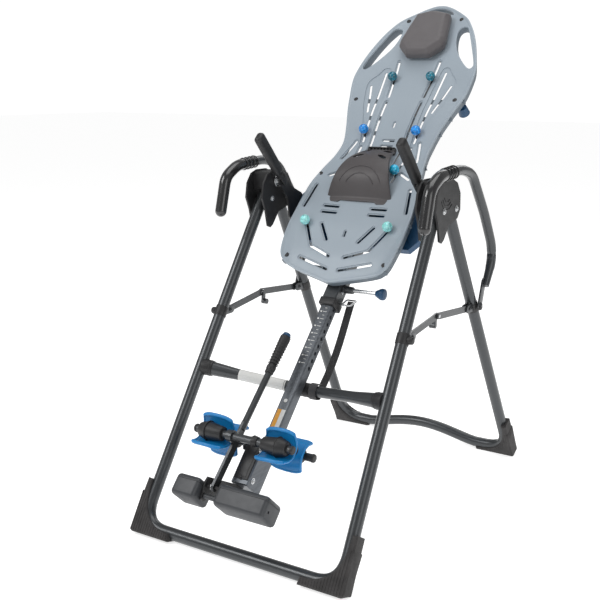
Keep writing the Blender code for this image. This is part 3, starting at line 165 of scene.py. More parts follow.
# ---------------------------------------------------------------- finishes
class Finish:
    """A procedural material under construction."""

    def __init__(self, name, base, roughness, metallic=0.0, **sockets):
        self.material = bpy.data.materials.new(name)
        self.material.use_nodes = True
        self.tree = self.material.node_tree
        self.shader = self.tree.nodes["Principled BSDF"]
        self.base = (*base, 1.0)
        self.set(self.shader, {"Base Color": self.base, "Roughness": roughness,
                               "Metallic": metallic, **sockets})

    @staticmethod
    def set(node, values):
        for key, value in values.items():
            node.inputs[key].default_value = value

    def add(self, kind, values=None, **links):
        node = self.tree.nodes.new(kind)
        self.set(node, values or {})
        for key, source in links.items():
            self.tree.links.new(source, node.inputs[key])
        return node

    def place(self, scale=(1.0, 1.0, 1.0), turn=(0.0, 0.0, 0.0), source="Object"):
        at = self.tree.nodes.new("ShaderNodeTexCoord")
        mapping = self.add("ShaderNodeMapping", {"Scale": scale, "Rotation": turn})
        self.tree.links.new(at.outputs[source], mapping.inputs["Vector"])
        return mapping.outputs["Vector"]

    def noise(self, scale, detail=3.0, rough=0.5, place=None):
        return self.add("ShaderNodeTexNoise",
                        {"Scale": scale, "Detail": detail, "Roughness": rough},
                        Vector=place or self.place()).outputs["Fac"]

    def ramp(self, factor, low, high):
        """A factor stretched so that low becomes 0 and high becomes 1."""
        node = self.add("ShaderNodeMapRange", {"From Min": low, "From Max": high})
        self.tree.links.new(factor, node.inputs["Value"])
        return node.outputs["Result"]

    def tones(self, factor, dark, light):
        """The base colour, moved between two multiples of itself."""
        mix = self.tree.nodes.new("ShaderNodeMix")
        mix.data_type = "RGBA"
        mix.inputs["A"].default_value = (*[c * dark for c in self.base[:3]], 1.0)
        mix.inputs["B"].default_value = (*[min(1.0, c * light) for c in self.base[:3]], 1.0)
        self.tree.links.new(factor, mix.inputs["Factor"])
        self.tree.links.new(mix.outputs["Result"], self.shader.inputs["Base Color"])
        return mix.outputs["Result"]

    def roughen(self, factor, low, high):
        node = self.add("ShaderNodeMapRange", {"To Min": low, "To Max": high})
        self.tree.links.new(factor, node.inputs["Value"])
        self.tree.links.new(node.outputs["Result"], self.shader.inputs["Roughness"])

    def bump(self, height, strength, distance, below=None):
        node = self.add("ShaderNodeBump", {"Strength": strength, "Distance": distance},
                        Height=height)
        if below:
            self.tree.links.new(below, node.inputs["Normal"])
        self.tree.links.new(node.outputs["Normal"], self.shader.inputs["Normal"])
        return node.outputs["Normal"]


FINISHES = {}


def finish_of(name):
    """The finish of that name, made the first time that it is asked for."""
    if name not in FINISHES:
        makers = {"frame": frame_finish, "black": black_finish, "boot": boot_finish,
                  "vinyl": vinyl_finish, "cup": cup_finish, "foam": foam_finish,
                  "shaft": shaft_finish, "steel": steel_finish, "webbing": webbing_finish}
        if name in makers:
            FINISHES[name] = makers[name]()
        elif name in MOULDED:
            title, *look = MOULDED[name]
            FINISHES[name] = moulded(title, getattr(settings()[0], name), *look).material
        elif name in INKS:
            FINISHES[name] = paint_finish(INKS[name], getattr(settings()[0], name))
        else:
            FINISHES[name] = ball_finish(name)
    return FINISHES[name]


def frame_finish():
    """Satin metallic paint with a fine orange peel."""
    paint = Finish("gunmetal_paint", settings()[0].frame, 0.34, 0.55)
    paint.set(paint.shader, {"Coat Weight": 0.35, "Coat Roughness": 0.22})
    paint.tones(paint.noise(1400, 2), 0.82, 1.30)
    paint.roughen(paint.noise(30, 4), 0.28, 0.42)
    fine = paint.bump(paint.noise(620, 2), 0.10, 0.0004)
    paint.bump(paint.noise(90, 3), 0.05, 0.0012, fine)
    return paint.material


def black_finish():
    """Spark-eroded black moulding."""
    plastic = Finish("black_plastic", settings()[0].black, 0.46)
    plastic.tones(plastic.noise(60, 4), 0.8, 1.5)
    plastic.roughen(plastic.noise(45, 3), 0.38, 0.56)
    plastic.bump(plastic.noise(1500, 3), 0.30, 0.0003)
    return plastic.material


def boot_finish():
    """Matt rubber, a little dusty."""
    rubber = Finish("boot_rubber", settings()[0].boot, 0.72)
    rubber.tones(rubber.ramp(rubber.noise(28, 5, 0.6), 0.35, 0.75), 0.75, 1.7)
    rubber.roughen(rubber.noise(50, 3), 0.60, 0.82)
    rubber.bump(rubber.noise(900, 4), 0.35, 0.0005)
    return rubber.material


def vinyl_finish():
    """Dipped vinyl with a wet gloss and faint ripples."""
    vinyl = Finish("grip_vinyl", settings()[0].vinyl, 0.20)
    vinyl.set(vinyl.shader, {"Coat Weight": 0.6, "Coat Roughness": 0.12})
    vinyl.tones(vinyl.noise(40, 3), 0.8, 1.4)
    vinyl.roughen(vinyl.noise(35, 3), 0.14, 0.30)
    vinyl.bump(vinyl.noise(130, 3), 0.16, 0.0010)
    return vinyl.material


def moulded(name, base, low, high, spread):
    """Satin moulded plastic with a fine grain and faint flow marks."""
    plastic = Finish(name, base, (low + high) / 2)
    flow = plastic.noise(9, 4, 0.55, plastic.place((1.0, 0.35, 0.35)))
    plastic.tones(flow, *spread)
    plastic.roughen(plastic.noise(60, 4), low, high)
    grain = plastic.bump(plastic.noise(1700, 2), 0.22, 0.00025)
    plastic.bump(plastic.noise(34, 2), 0.04, 0.0014, grain)
    return plastic


# Name, roughness range and spread of tones of the plain moulded finishes.
MOULDED = {"bed": ("bed_face", 0.34, 0.50, (0.94, 1.06)),
           # Painted shade: the darker copy of the bed face, for the board's walls and underside.
           "bed_painted_shade": ("bed_painted_shade", 0.40, 0.56, (0.94, 1.06)),
           "navy": ("bed_casing", 0.30, 0.44, (0.8, 1.3)),
           "bridge": ("lumbar_bridge", 0.40, 0.56, (0.85, 1.2)),
           "platform": ("foot_platform", 0.36, 0.52, (0.86, 1.2))}
INKS = {"white": "white_marks", "amber": "amber_stripe"}


def cup_finish():
    cup = moulded("ankle_cup", settings()[0].cup, 0.30, 0.44, (0.88, 1.12))
    cup.set(cup.shader, {"Subsurface Weight": 0.06, "Coat Weight": 0.15,
                         "Coat Roughness": 0.3})
    return cup.material


def leather_bump(skin, scale, strength, distance):
    """Pebbled grain from two sizes of cell."""
    cells = skin.add("ShaderNodeTexVoronoi", {"Scale": scale}, Vector=skin.place())
    large = skin.bump(cells.outputs["Distance"], strength, distance)
    return skin.bump(skin.noise(scale * 2.2, 3), strength * 0.6, distance * 0.5, large)


def foam_finish():
    """Soft self-skinned foam with a fine pebble grain."""
    skin = Finish("head_rest_skin", settings()[0].foam, 0.55)
    skin.set(skin.shader, {"Sheen Weight": 0.12, "Sheen Roughness": 0.5})
    skin.tones(skin.noise(24, 4), 0.86, 1.14)
    skin.roughen(skin.noise(80, 3), 0.46, 0.64)
    leather_bump(skin, 900, 0.22, 0.0005)
    return skin.material


def shaft_finish():
    """Grey enamel, scuffed lengthwise where it slides."""
    enamel = Finish("shaft_enamel", settings()[0].shaft, 0.38, 0.55)
    scuff = enamel.noise(60, 4, 0.6, enamel.place((3.0, 0.12, 3.0), (-BED_ANGLE, 0, 0)))
    enamel.tones(enamel.ramp(scuff, 0.40, 0.72), 0.90, 1.35)
    enamel.roughen(scuff, 0.28, 0.46)
    enamel.bump(enamel.noise(700, 2), 0.08, 0.0004)
    return enamel.material


def steel_finish():
    """Bright plated steel with fine brushing."""
    steel = Finish("bright_steel", settings()[0].steel, 0.24, 1.0)
    brushed = steel.noise(300, 3, 0.6, steel.place((1.0, 1.0, 6.0)))
    steel.tones(brushed, 0.82, 1.08)
    steel.roughen(brushed, 0.16, 0.34)
    return steel.material


def webbing_finish():
    """Woven webbing, its ribs across the strap."""
    web = Finish("webbing", settings()[0].webbing, 0.85)
    web.set(web.shader, {"Sheen Weight": 0.25, "Sheen Roughness": 0.6})
    ribs = web.tree.nodes.new("ShaderNodeTexWave")
    ribs.bands_direction = "X"
    web.set(ribs, {"Scale": 420.0, "Distortion": 0.4})
    web.tree.links.new(web.place((1.0, 0.4, 0.4)), ribs.inputs["Vector"])
    rows = web.tree.nodes.new("ShaderNodeTexWave")
    rows.bands_direction = "Z"
    web.set(rows, {"Scale": 180.0, "Distortion": 0.6})
    web.tree.links.new(web.place(), rows.inputs["Vector"])
    web.tones(ribs.outputs["Fac"], 0.7, 1.9)
    first = web.bump(ribs.outputs["Fac"], 0.5, 0.0006)
    web.bump(rows.outputs["Fac"], 0.4, 0.0005, first)
    return web.material


def paint_finish(name, base):
    ink = Finish(name, base, 0.45)
    ink.tones(ink.noise(160, 4), 0.88, 1.06)
    ink.roughen(ink.noise(90, 3), 0.38, 0.55)
    ink.bump(ink.noise(900, 2), 0.1, 0.0002)
    return ink.material


def ball_finish(name):
    """Pearled plastic with soft swirls of a lighter tone."""
    base = getattr(settings()[0], name)
    pearl = Finish(name, base, 0.22)
    pearl.set(pearl.shader, {"Subsurface Weight": 0.10, "Coat Weight": 0.5,
                             "Coat Roughness": 0.08})
    swirl = pearl.noise(85, 4, 0.6)
    pearl.tones(pearl.ramp(swirl, 0.38, 0.66), 0.72, 1.6)
    pearl.roughen(pearl.noise(120, 2), 0.16, 0.30)
    return pearl.material


# ---------------------------------------------------------------- modelling by hand
def choose(*objs):
    """Select only these objects, the first one active."""
    bpy.ops.object.select_all(action="DESELECT")
    for obj in objs:
        obj.select_set(True)
    bpy.context.view_layer.objects.active = objs[0]


def modify(obj, kind, **values):
    """Add a modifier and apply it."""
    change = obj.modifiers.new(kind.lower(), kind)
    for key, value in values.items():
        setattr(change, key, value)
    choose(obj)
    bpy.ops.object.modifier_apply(modifier=change.name)
    return obj


def soften(obj, width, segments=3, angle=35):
    return modify(obj, "BEVEL", width=width, segments=segments, limit_method="ANGLE",
                  angle_limit=radians(angle), use_clamp_overlap=True)


def move(obj, matrix):
    """Lay an object at its place, with the place in its mesh."""
    obj.matrix_world = matrix @ obj.matrix_world
    choose(obj)
    bpy.ops.object.transform_apply(location=True, rotation=True, scale=True)
    return obj


def clean(obj, threshold=0.00001):
    """Merge doubles and turn every face outwards."""
    choose(obj)
    bpy.ops.object.mode_set(mode="EDIT")
    bpy.ops.mesh.select_all(action="SELECT")
    bpy.ops.mesh.remove_doubles(threshold=threshold)
    bpy.ops.mesh.normals_make_consistent(inside=False)
    bpy.ops.object.mode_set(mode="OBJECT")
    return obj


def joined(*objs):
    choose(*objs)
    bpy.ops.object.join()
    return objs[0]


def dress(obj, finish):
    """Give a whole mesh one finish."""
    obj.data.materials.clear()
    obj.data.materials.append(finish_of(finish))
    for face in obj.data.polygons:
        face.material_index = 0
    return obj


def settle(obj, name, body, slot, finish=None, bed=False, instead=(), angle=35):
    """Name a finished piece, place it, smooth it and hang it on its body."""
    obj.name = name
    obj.data.name = name
    move(obj, BED if bed else Matrix.Identity(4))
    if finish:
        dress(obj, finish)
    choose(obj)
    bpy.ops.object.shade_smooth_by_angle(angle=radians(angle))
    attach(obj, body)
    if instead:
        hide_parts(*instead)
    return obj


def rod(start, end, radius, end_radius=None, sides=40, edge=0.0):
    """A round bar or cone between two points."""
    start, end = Vector(start), Vector(end)
    along = end - start
    bpy.ops.mesh.primitive_cone_add(vertices=sides, radius1=radius,
                                    radius2=radius if end_radius is None else end_radius,
                                    depth=along.length, location=(start + end) / 2,
                                    rotation=along.to_track_quat("Z", "Y").to_euler())
    obj = bpy.context.object
    move(obj, Matrix.Identity(4))
    return soften(obj, edge) if edge else obj


def block(size, centre, edge=0.001, segments=3):
    """A box with rounded edges."""
    bpy.ops.mesh.primitive_cube_add(size=1, location=centre, scale=size)
    obj = move(bpy.context.object, Matrix.Identity(4))
    return soften(obj, edge, segments) if edge else obj


def ball(centre, radius, segments=40, scale=(1, 1, 1)):
    bpy.ops.mesh.primitive_uv_sphere_add(segments=segments, ring_count=segments // 2,
                                         radius=radius, location=centre, scale=scale)
    return move(bpy.context.object, Matrix.Identity(4))


def ring(centre, radius, thick, axis, sides=40):
    """A round ring about an axis."""
    turn = Vector(axis).to_track_quat("Z", "Y").to_euler()
    bpy.ops.mesh.primitive_torus_add(major_radius=radius, minor_radius=thick,
                                     major_segments=sides, minor_segments=10,
                                     location=centre, rotation=turn)
    return move(bpy.context.object, Matrix.Identity(4))


def from_curve(curve):
    obj = bpy.data.objects.new("drawn", curve)
    bpy.context.scene.collection.objects.link(obj)
    choose(obj)
    bpy.ops.object.convert(target="MESH")
    return clean(bpy.context.object)


def add_spline(curve, points, cyclic, radii=None):
    spline = curve.splines.new("POLY")
    spline.points.add(len(points) - 1)
    spline.use_cyclic_u = cyclic
    for index, point in enumerate(points):
        place = (*point, 0.0)[:3]
        spline.points[index].co = (*place, 1.0)
        if radii:
            spline.points[index].radius = radii[index]


def tube(points, radius, radii=None, sides=28, cyclic=False):
    """A round tube along a path, closed at its ends."""
    curve = bpy.data.curves.new("tube", "CURVE")
    curve.dimensions = "3D"
    curve.bevel_depth = radius
    curve.bevel_resolution = sides // 4 - 2
    curve.use_fill_caps = True
    curve.twist_mode = "MINIMUM"
    add_spline(curve, points, cyclic, radii)
    return from_curve(curve)


def plate(loops, thick, edge=0.001, level=0.0, steps=2):
    """A flat plate from an outline and its holes, its middle at a level."""
    curve = bpy.data.curves.new("plate", "CURVE")
    curve.dimensions = "2D"
    curve.fill_mode = "BOTH"
    curve.extrude = thick / 2 - edge
    curve.bevel_depth = edge
    curve.bevel_resolution = steps
    curve.offset = -edge
    for loop in loops:
        add_spline(curve, loop, True)
    return move(from_curve(curve), Matrix.Translation((0, 0, level)))


def side_plate(loops, thick, x, edge=0.001):
    """A plate whose outline is drawn as (y, z), at a place along X."""
    return move(plate(loops, thick, edge), Matrix.Translation((x, 0, 0)) @ UPRIGHT)


def rounded(loop, passes=2):
    """A closed outline with its corners cut to curves."""
    points = [Vector(p) for p in loop]
    for _ in range(passes):
        nexts = points[1:] + points[:1]
        points = [q for a, b in zip(points, nexts)
                  for q in (a.lerp(b, 0.25), a.lerp(b, 0.75))]
    return points


def arc(first, corner, last, steps=10):
    """Points on the smooth bend that a corner pulls between two points."""
    first, corner, last = Vector(first), Vector(corner), Vector(last)
    shares = [k / steps for k in range(steps + 1)]
    return [first * (1 - s) ** 2 + corner * 2 * s * (1 - s) + last * s ** 2 for s in shares]


def stadium(start, end, width, steps=7, bend=None):
    """A slot's outline between the centres of its round ends, past a bend if it has one."""
    points = [Vector(p) for p in (start, bend, end) if p is not None]
    legs = [(b - a).normalized() for a, b in zip(points, points[1:])]
    loop = []
    for centre, along in ((points[-1], legs[-1]), (points[0], -legs[0])):
        heading = atan2(along.y, along.x)
        for k in range(steps + 1):
            turn = heading - pi / 2 + pi * k / steps
            loop.append(centre + Vector((cos(turn), sin(turn))) * width / 2)
        if bend is not None:
            mitre = (legs[-1] - legs[0]).normalized()
            reach = width / 2 / (legs[0].orthogonal().normalized().dot(mitre))
            side = mitre if mitre.dot(Vector((-along.y, along.x))) > 0 else -mitre
            loop.append(points[1] + side * abs(reach))
    return loop


def flipped(loop):
    return [(-x, y) for x, y in loop]


def shaped(obj, rule):
    """Move every point of a mesh by a rule."""
    for vert in obj.data.vertices:
        vert.co = rule(vert.co)
    obj.data.update()
    return obj


def sliced(obj, axis, stations):
    """Cut edges across a mesh at stations along an axis."""
    normal = Vector([float(k == axis) for k in range(3)])
    choose(obj)
    bpy.ops.object.mode_set(mode="EDIT")
    for station in stations:
        bpy.ops.mesh.select_all(action="SELECT")
        bpy.ops.mesh.bisect(plane_co=normal * station, plane_no=normal)
    bpy.ops.object.mode_set(mode="OBJECT")
    return obj


def bolt(centre, axis, radius=0.007, height=0.005):
    """A domed hex-socket bolt head standing out along an axis."""
    centre, axis = Vector(centre), Vector(axis).normalized()
    head = rod(centre, centre + axis * height, radius, radius * 0.86, 24, height * 0.3)
    washer = rod(centre - axis * 0.0004, centre + axis * 0.0012, radius * 1.35, sides=28,
                 edge=0.0003)
    socket = rod(centre + axis * height * 0.45, centre + axis * (height + 0.002),
                 radius * 0.45, sides=6)
    cut(head, socket)
    return joined(head, washer)


def cut(obj, tool):
    """Take a tool's shape out of a piece."""
    modify(obj, "BOOLEAN", operation="DIFFERENCE", object=tool, solver="EXACT")
    bpy.data.objects.remove(tool)
    return obj


# ---------------------------------------------------------------- frame lines
TOP_X = 0.302                # legs' upper ends
FOOT = {"front": Vector(frame["record"]["mounts"][0]["pos_m"]).y,
        "rear": Vector(frame["record"]["mounts"][2]["pos_m"]).y}
BAR_HEIGHT = 0.022
FOOT_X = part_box("front_boot_right")[1].x - 0.0265
LEG_TOP = {"front": Vector((TOP_X, PIVOT.y - 0.0255, joint_place("rear_fold").z)),
           "rear": Vector((TOP_X, joint_place("rear_fold").y, joint_place("rear_fold").z))}


def foot_point(end, side):
    return Vector((side * FOOT_X, FOOT[end], BAR_HEIGHT))


def leg_point(end, side, height):
    """A point on a leg's centre line."""
    foot = foot_point(end, side)
    top = Vector((side * LEG_TOP[end].x, *LEG_TOP[end].yz))
    return foot.lerp(top, (height - foot.z) / (top.z - foot.z))


def leg_direction(end, side):
    return (leg_point(end, side, 0.9) - leg_point(end, side, 0.1)).normalized()


def corner_bend(end, side, reach):
    """The bend from a leg to its floor bar."""
    foot = foot_point(end, side)
    return arc(foot + leg_direction(end, side) * reach, foot,
               foot + Vector((-side * reach, 0, 0)), 16)


class TABLE_OT_tubes(bpy.types.Operator):
    """Legs and floor bars as bent tubes that meet inside the boots"""
    bl_idname = "table.tubes"
    bl_label = "Frame tubes"

    def execute(self, context):
        sizes = settings()[1]
        for end, body in (("front", "front_frame"), ("rear", "rear_frame")):
            halves = {}
            for side, name in SIDES:
                bend = corner_bend(end, side, sizes.corner)
                halves[side] = bend[8:]
                top = leg_point(end, side, LEG_TOP[end].z)
                top += leg_direction(end, side) * 0.010
                leg = tube([top, *bend[:9]], sizes.tube, sides=40)
                pieces = [leg, *self.lugs(end, side)]
                settle(joined(*pieces), f"{end}_leg_tube_{name}", body, "frame_paint",
                       "frame", instead=(f"{end}_leg_{name}",))
            middle = self.arch() if end == "rear" else []
            path = halves[-1] + middle + halves[1][::-1]
            settle(tube(path, sizes.tube, sides=40), f"{end}_floor_tube", body,
                   "frame_paint", "frame", instead=(f"{end}_floor_bar",))
        return {"FINISHED"}

    @staticmethod
    def arch():
        """The rise of the rear floor bar over its middle."""
        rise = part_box("rear_floor_bar")[1].z - 0.0175 - BAR_HEIGHT
        reach = FOOT_X - 0.124
        shares = [k / 16 for k in range(17)]
        return [Vector((-reach + 2 * reach * s, FOOT["rear"],
                        BAR_HEIGHT + rise * sin(pi * s) ** 1.3)) for s in shares]

    @staticmethod
    def lugs(end, side):
        """Cheeks that hold a spreader link, with their bolt."""
        joint = "front_link_swing_right" if end == "front" else "rear_link_swing_right"
        pin = joint_place(joint).yz
        toward = -1 if end == "front" else 1
        x = side * LUG_X
        pieces = []
        for offset in (-0.0076, 0.0076):
            loop = stadium((pin[0] - toward * 0.009, pin[1]),
                           (pin[0] + toward * 0.031, pin[1]), 0.026)
            pieces.append(side_plate([loop], 0.004, x + offset, 0.0008))
        for way in (-1, 1):
            pieces.append(bolt((x + way * 0.0096, *pin), (way, 0, 0), 0.0055, 0.004))
        pieces.append(rod((x - 0.009, *pin), (x + 0.009, *pin), 0.004, sides=20))
        return pieces


class TABLE_OT_boots(bpy.types.Operator):
    """Ribbed rubber boots round the frame's lower corners"""
    bl_idname = "table.boots"
    bl_label = "Corner boots"

    def execute(self, context):
        for end, body in (("front", "front_frame"), ("rear", "rear_frame")):
            for side, name in SIDES:
                self.boot(end, side, name, body)
        return {"FINISHED"}

    def boot(self, end, side, name, body):
        """One boot, drawn in the plane of its leg and bar, then laid at the corner."""
        foot = foot_point(end, side)
        inward = Vector((-side, 0, 0))
        leg = leg_direction(end, side)
        up = (leg - inward * leg.dot(inward)).normalized()
        across = inward.cross(up)
        lean = atan2(leg.dot(inward), leg.dot(up))
        drop = foot.z / up.z
        outer = [Vector((0.116, -drop)), Vector((-0.026, -drop)),
                 Vector((-0.024 + 0.136 * lean, 0.136))]
        corner = arc(outer[1] + Vector((0.012, 0)), outer[1], outer[1] + Vector((0, 0.012)), 5)
        inner = arc((-0.007 + 0.134 * lean, 0.134), (-0.007, -0.006), (0.114, -0.003), 14)
        loop = [outer[0], *corner, outer[2], *inner]
        body_plate = plate([loop], 0.050, 0.006, steps=3)
        ribs = []
        for k in range(16):
            a = -0.0205 + 0.0086 * k
            top = min([p.y for p in inner if abs(p.x - a) < 0.007] + [0.100]) - 0.004
            low = -drop + 0.004
            if top < low + 0.006:
                continue
            bpy.ops.mesh.primitive_cube_add(size=1, location=(a, (top + low) / 2, 0),
                                            scale=(0.0036, top - low, 0.0530))
            rib = move(bpy.context.object, Matrix.Identity(4))
            ribs.append(soften(rib, 0.0012, 2))
        boot = joined(body_plate, *ribs)
        place = Matrix((inward, up, across)).transposed().to_4x4()
        place.translation = foot
        move(boot, place)
        shaped(boot, lambda co: Vector((co.x, co.y, max(co.z, 0.0))))
        settle(boot, f"{end}_corner_boot_{name}", body, "boot_rubber", "boot",
               instead=(f"{end}_boot_{name}",))
        clean(boot)


class TABLE_OT_crossbar(bpy.types.Operator):
    """The crossbar with its flared ends, collars, plain band and rubber bumper"""
    bl_idname = "table.crossbar"
    bl_label = "Crossbar"

    def execute(self, context):
        pivot = joint_place("tether_swing")
        flat = 0.036
        end = leg_point("front", 1, CROSSBAR_HEIGHT)
        share = (0.047 - flat) / (end.x - flat)
        middle = (pivot.yz - end.yz * share) / (1 - share)
        radius = 0.0165

        def at(x):
            along = max(0.0, (abs(x) - flat) / (end.x - flat))
            y, z = middle.lerp(end.yz, along)
            return Vector((x, y, z))

        reach = end.x - 0.016
        stations = [reach, reach - 0.03, reach - 0.06, reach - 0.09, reach - 0.115, 0.10,
                    flat + 0.01, flat - 0.01]
        radii = [1.32, 1.28, 1.18, 1.07, 1.0, 1.0, 1.0, 1.0]
        path = [at(-x) for x in stations] + [at(x) for x in stations[::-1]]
        bar = tube(path, radius, radii + radii[::-1], sides=40)
        settle(bar, "crossbar_tube", "front_frame", "frame_paint", "frame",
               instead=("front_crossbar",))
        collars = []
        for side, _ in SIDES:
            out = at(side * (end.x - 0.006))
            inner = at(side * (end.x - 0.040))
            collars.append(rod(inner, out, 0.0235, 0.0255, 40, 0.002))
            collars.append(ring(inner.lerp(out, 0.25), 0.0236, 0.0012, out - inner))
        settle(joined(*collars), "crossbar_collars", "front_frame", "black_plastic", "black")
        bumper = rod((-0.030, *middle), (0.030, *middle), radius + 0.0046, sides=48,
                     edge=0.0012)
        rings = [ring((x, *middle), radius + 0.0042, 0.0010, (1, 0, 0))
                 for x in (-0.026, -0.013, 0.0, 0.013, 0.026)]
        settle(joined(bumper, *rings), "bumper_sleeve", "front_frame", "black_plastic",
               "black", instead=("crossbar_bumper",))
        band = tube([at(-0.198), at(-0.12), at(-0.060)], radius + 0.0005, sides=40)
        seam = rod(at(-0.0585), at(-0.0555), radius + 0.0007, sides=40)
        settle(joined(band, seam), "crossbar_band", "front_frame", "black_plastic", "white")
        return {"FINISHED"}


class TABLE_OT_brackets(bpy.types.Operator):
    """Raised swirls on the pivot brackets' covers, their bolts and the pivot washers"""
    bl_idname = "table.brackets"
    bl_label = "Pivot brackets"

    def execute(self, context):
        for side, name in SIDES:
            low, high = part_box(f"pivot_bracket_{name}")
            outer = max(abs(low.x), abs(high.x))
            details = []
            for radius in (0.020, 0.031, 0.042):
                details.append(self.swirl(side * (outer + 0.0002), radius))
            settle(joined(*details), f"bracket_swirls_{name}", "front_frame",
                   "black_plastic", "black")
            bolts = []
            for top in LEG_TOP.values():
                bolts.append(bolt((side * outer, top.y, top.z), (side, 0, 0)))
                bolts.append(bolt((side * 0.264, top.y, top.z), (-side, 0, 0)))
            settle(joined(*bolts), f"bracket_bolts_{name}", "front_frame", "bolt_steel",
                   "steel")
            washer = [rod((side * 0.2635, *PIVOT.yz), (side * 0.2575, *PIVOT.yz), 0.019,
                          sides=40, edge=0.0015),
                      rod((side * 0.2575, *PIVOT.yz), (side * 0.2530, *PIVOT.yz), 0.0135,
                          sides=6, edge=0.0008)]
            settle(joined(*washer), f"pivot_washers_{name}", "front_frame", "bolt_steel",
                   "steel")
        return {"FINISHED"}

    @staticmethod
    def swirl(x, radius):
        """A raised arc of the cover's decoration."""
        turns = [radians(200 + 13 * k) for k in range(10)]
        points = [(x, PIVOT.y - 0.006 + radius * cos(t), PIVOT.z - 0.010 + radius * sin(t))
                  for t in turns]
        return tube(points, 0.0013, sides=12)


class TABLE_OT_handles(bpy.types.Operator):
    """Long bent traction handles with glossy dipped grips"""
    bl_idname = "table.handles"
    bl_label = "Traction handles"

    def execute(self, context):
        for side, name in SIDES:
            x = side * HANDLE_X
            path = self.path(x)
            radius = 0.0150
            count = len(path)
            radii = [1.0] * (count - 3) + [0.98, 0.92, 0.8]
            handle = tube(path, radius, radii, sides=36)
            tab_y = leg_point("rear", side, TAB_HEIGHT).y + 0.003
            end = path[-1]
            leg_x = abs(leg_point("rear", side, TAB_HEIGHT).x)
            tab_x = side * max(leg_x + 0.018 + 0.0012 + 0.00275, abs(x) - 0.006)
            loop = stadium((tab_y, TAB_HEIGHT), (end.y, end.z + 0.012), 0.028)
            tab = side_plate([loop], 0.0055, tab_x, 0.0012)
            screw = bolt((tab_x + side * 0.0028, tab_y, TAB_HEIGHT), (side, 0, 0), 0.007,
                         0.005)
            settle(joined(handle, tab, screw), f"handle_tube_{name}", "rear_frame",
                   "frame_paint", "frame", instead=(f"traction_handle_{name}",))
            self.grip(path, name)
        return {"FINISHED"}

    @staticmethod
    def path(x):
        """The handle's centre line, from its front end to its rear end."""
        tab = leg_point("rear", 1, TAB_HEIGHT)
        y, top = PIVOT.y, PIVOT.z
        corners = [(y - 0.185, top - 0.080), (y - 0.158, top + 0.019),
                   (y - 0.098, top + 0.051), (y + 0.050, top + 0.061),
                   (y + 0.128, top + 0.041), (y + 0.232, top - 0.085),
                   (tab.y + 0.065, tab.z + 0.183), (tab.y + 0.071, tab.z + 0.128),
                   (tab.y + 0.027, tab.z + 0.057)]
        bends = (0.024, 0.024, 0.035, 0.032, 0.024, 0.028, 0.028)
        corners = [Vector((x, *corner)) for corner in corners]
        points = [corners[0]]
        for before, here, after, reach in zip(corners, corners[1:], corners[2:], bends):
            points += arc(here + (before - here).normalized() * reach, here,
                          here + (after - here).normalized() * reach, 8)
        return points + [corners[-1]]

    @staticmethod
    def grip(path, name):
        """The vinyl sleeve, its closed round end and the ribs at its top."""
        radius = settings()[1].grip
        ahead = (path[0] - path[1]).normalized()
        stretch = [path[0] + ahead * 0.004, *path[1:19]]
        sleeve = tube(stretch, radius, sides=36)
        cap = ball(path[0] + ahead * 0.004, radius, 36)
        ribs = []
        for k in range(4):
            here = path[17].lerp(path[19], 0.15 + 0.2 * k)
            ribs.append(ring(here, radius + 0.0002, 0.0022, path[19] - path[17]))
        settle(joined(sleeve, *ribs), f"vinyl_grip_{name}", "rear_frame", "grip_vinyl",
               "vinyl", instead=(f"handle_grip_{name}",))
        settle(cap, f"vinyl_cap_{name}", "rear_frame", "grip_vinyl", "vinyl")


class TABLE_OT_spreaders(bpy.types.Operator):
    """Knee pins, black bolt knobs and leg wraps of the folding stays"""
    bl_idname = "table.spreaders"
    bl_label = "Spreaders"

    def execute(self, context):
        for side, name in SIDES:
            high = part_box(f"spreader_front_{name}")[1]
            knee_y, knee_z = high.y - 0.010, high.z - 0.010
            x = side * KNEE_X
            pieces = [bolt((x - side * 0.0028, knee_y, knee_z), (-side, 0, 0), 0.006, 0.004),
                      rod((x, knee_y, knee_z), (side * 0.3235, knee_y, knee_z), 0.0055,
                          sides=24, edge=0.001)]
            settle(joined(*pieces), f"knee_pin_{name}", f"front_link_{name}", "bolt_steel",
                   "steel")
            for end, body in (("front", "front_frame"), ("rear", "rear_frame")):
                height = joint_place(f"{end}_link_swing_right").z
                here = leg_point(end, side, height)
                out = here + Vector((side * 0.016, 0, 0))
                tip = here + Vector((side * 0.033, 0, 0))
                knob = rod(out, tip, 0.0125, 0.0100, 32, 0.003)
                wrap = rod(here - leg_direction(end, side) * 0.016,
                           here + leg_direction(end, side) * 0.016, 0.0196, sides=40,
                           edge=0.0012)
                settle(joined(knob, wrap), f"{end}_stay_knob_{name}", body,
                       "black_plastic", "black")
        return {"FINISHED"}


# ---------------------------------------------------------------- bed board
BED_LOWER, BED_UPPER = -0.295, 0.847
BED_FACE = -0.075
RIM_REACH = 0.0110           # rim's width, from its inner edge to the board's outline
EDGE = ((0.010, -0.295), (0.055, -0.283), (0.130, -0.266), (0.176, -0.250),
        (0.199, -0.226), (0.208, -0.180), (0.214, -0.120), (0.213, -0.040),
        (0.203, 0.040), (0.188, 0.120), (0.171, 0.190), (0.168, 0.245), (0.181, 0.310),
        (0.203, 0.380), (0.222, 0.450), (0.229, 0.505), (0.228, 0.548), (0.215, 0.598),
        (0.198, 0.650), (0.175, 0.704), (0.151, 0.745), (0.129, 0.775), (0.100, 0.800),
        (0.068, 0.824), (0.034, 0.841), (0.012, 0.847))
BOW = ((-0.295, -0.032), (-0.243, -0.023), (-0.200, -0.015), (-0.140, -0.011),
       (-0.090, -0.006), (-0.020, -0.004), (0.050, 0.000), (0.120, -0.010),
       (0.180, -0.022), (0.250, -0.030), (0.310, -0.022), (0.380, -0.018),
       (0.440, -0.021), (0.550, -0.018), (0.600, -0.011), (0.700, -0.004),
       (0.847, 0.000))
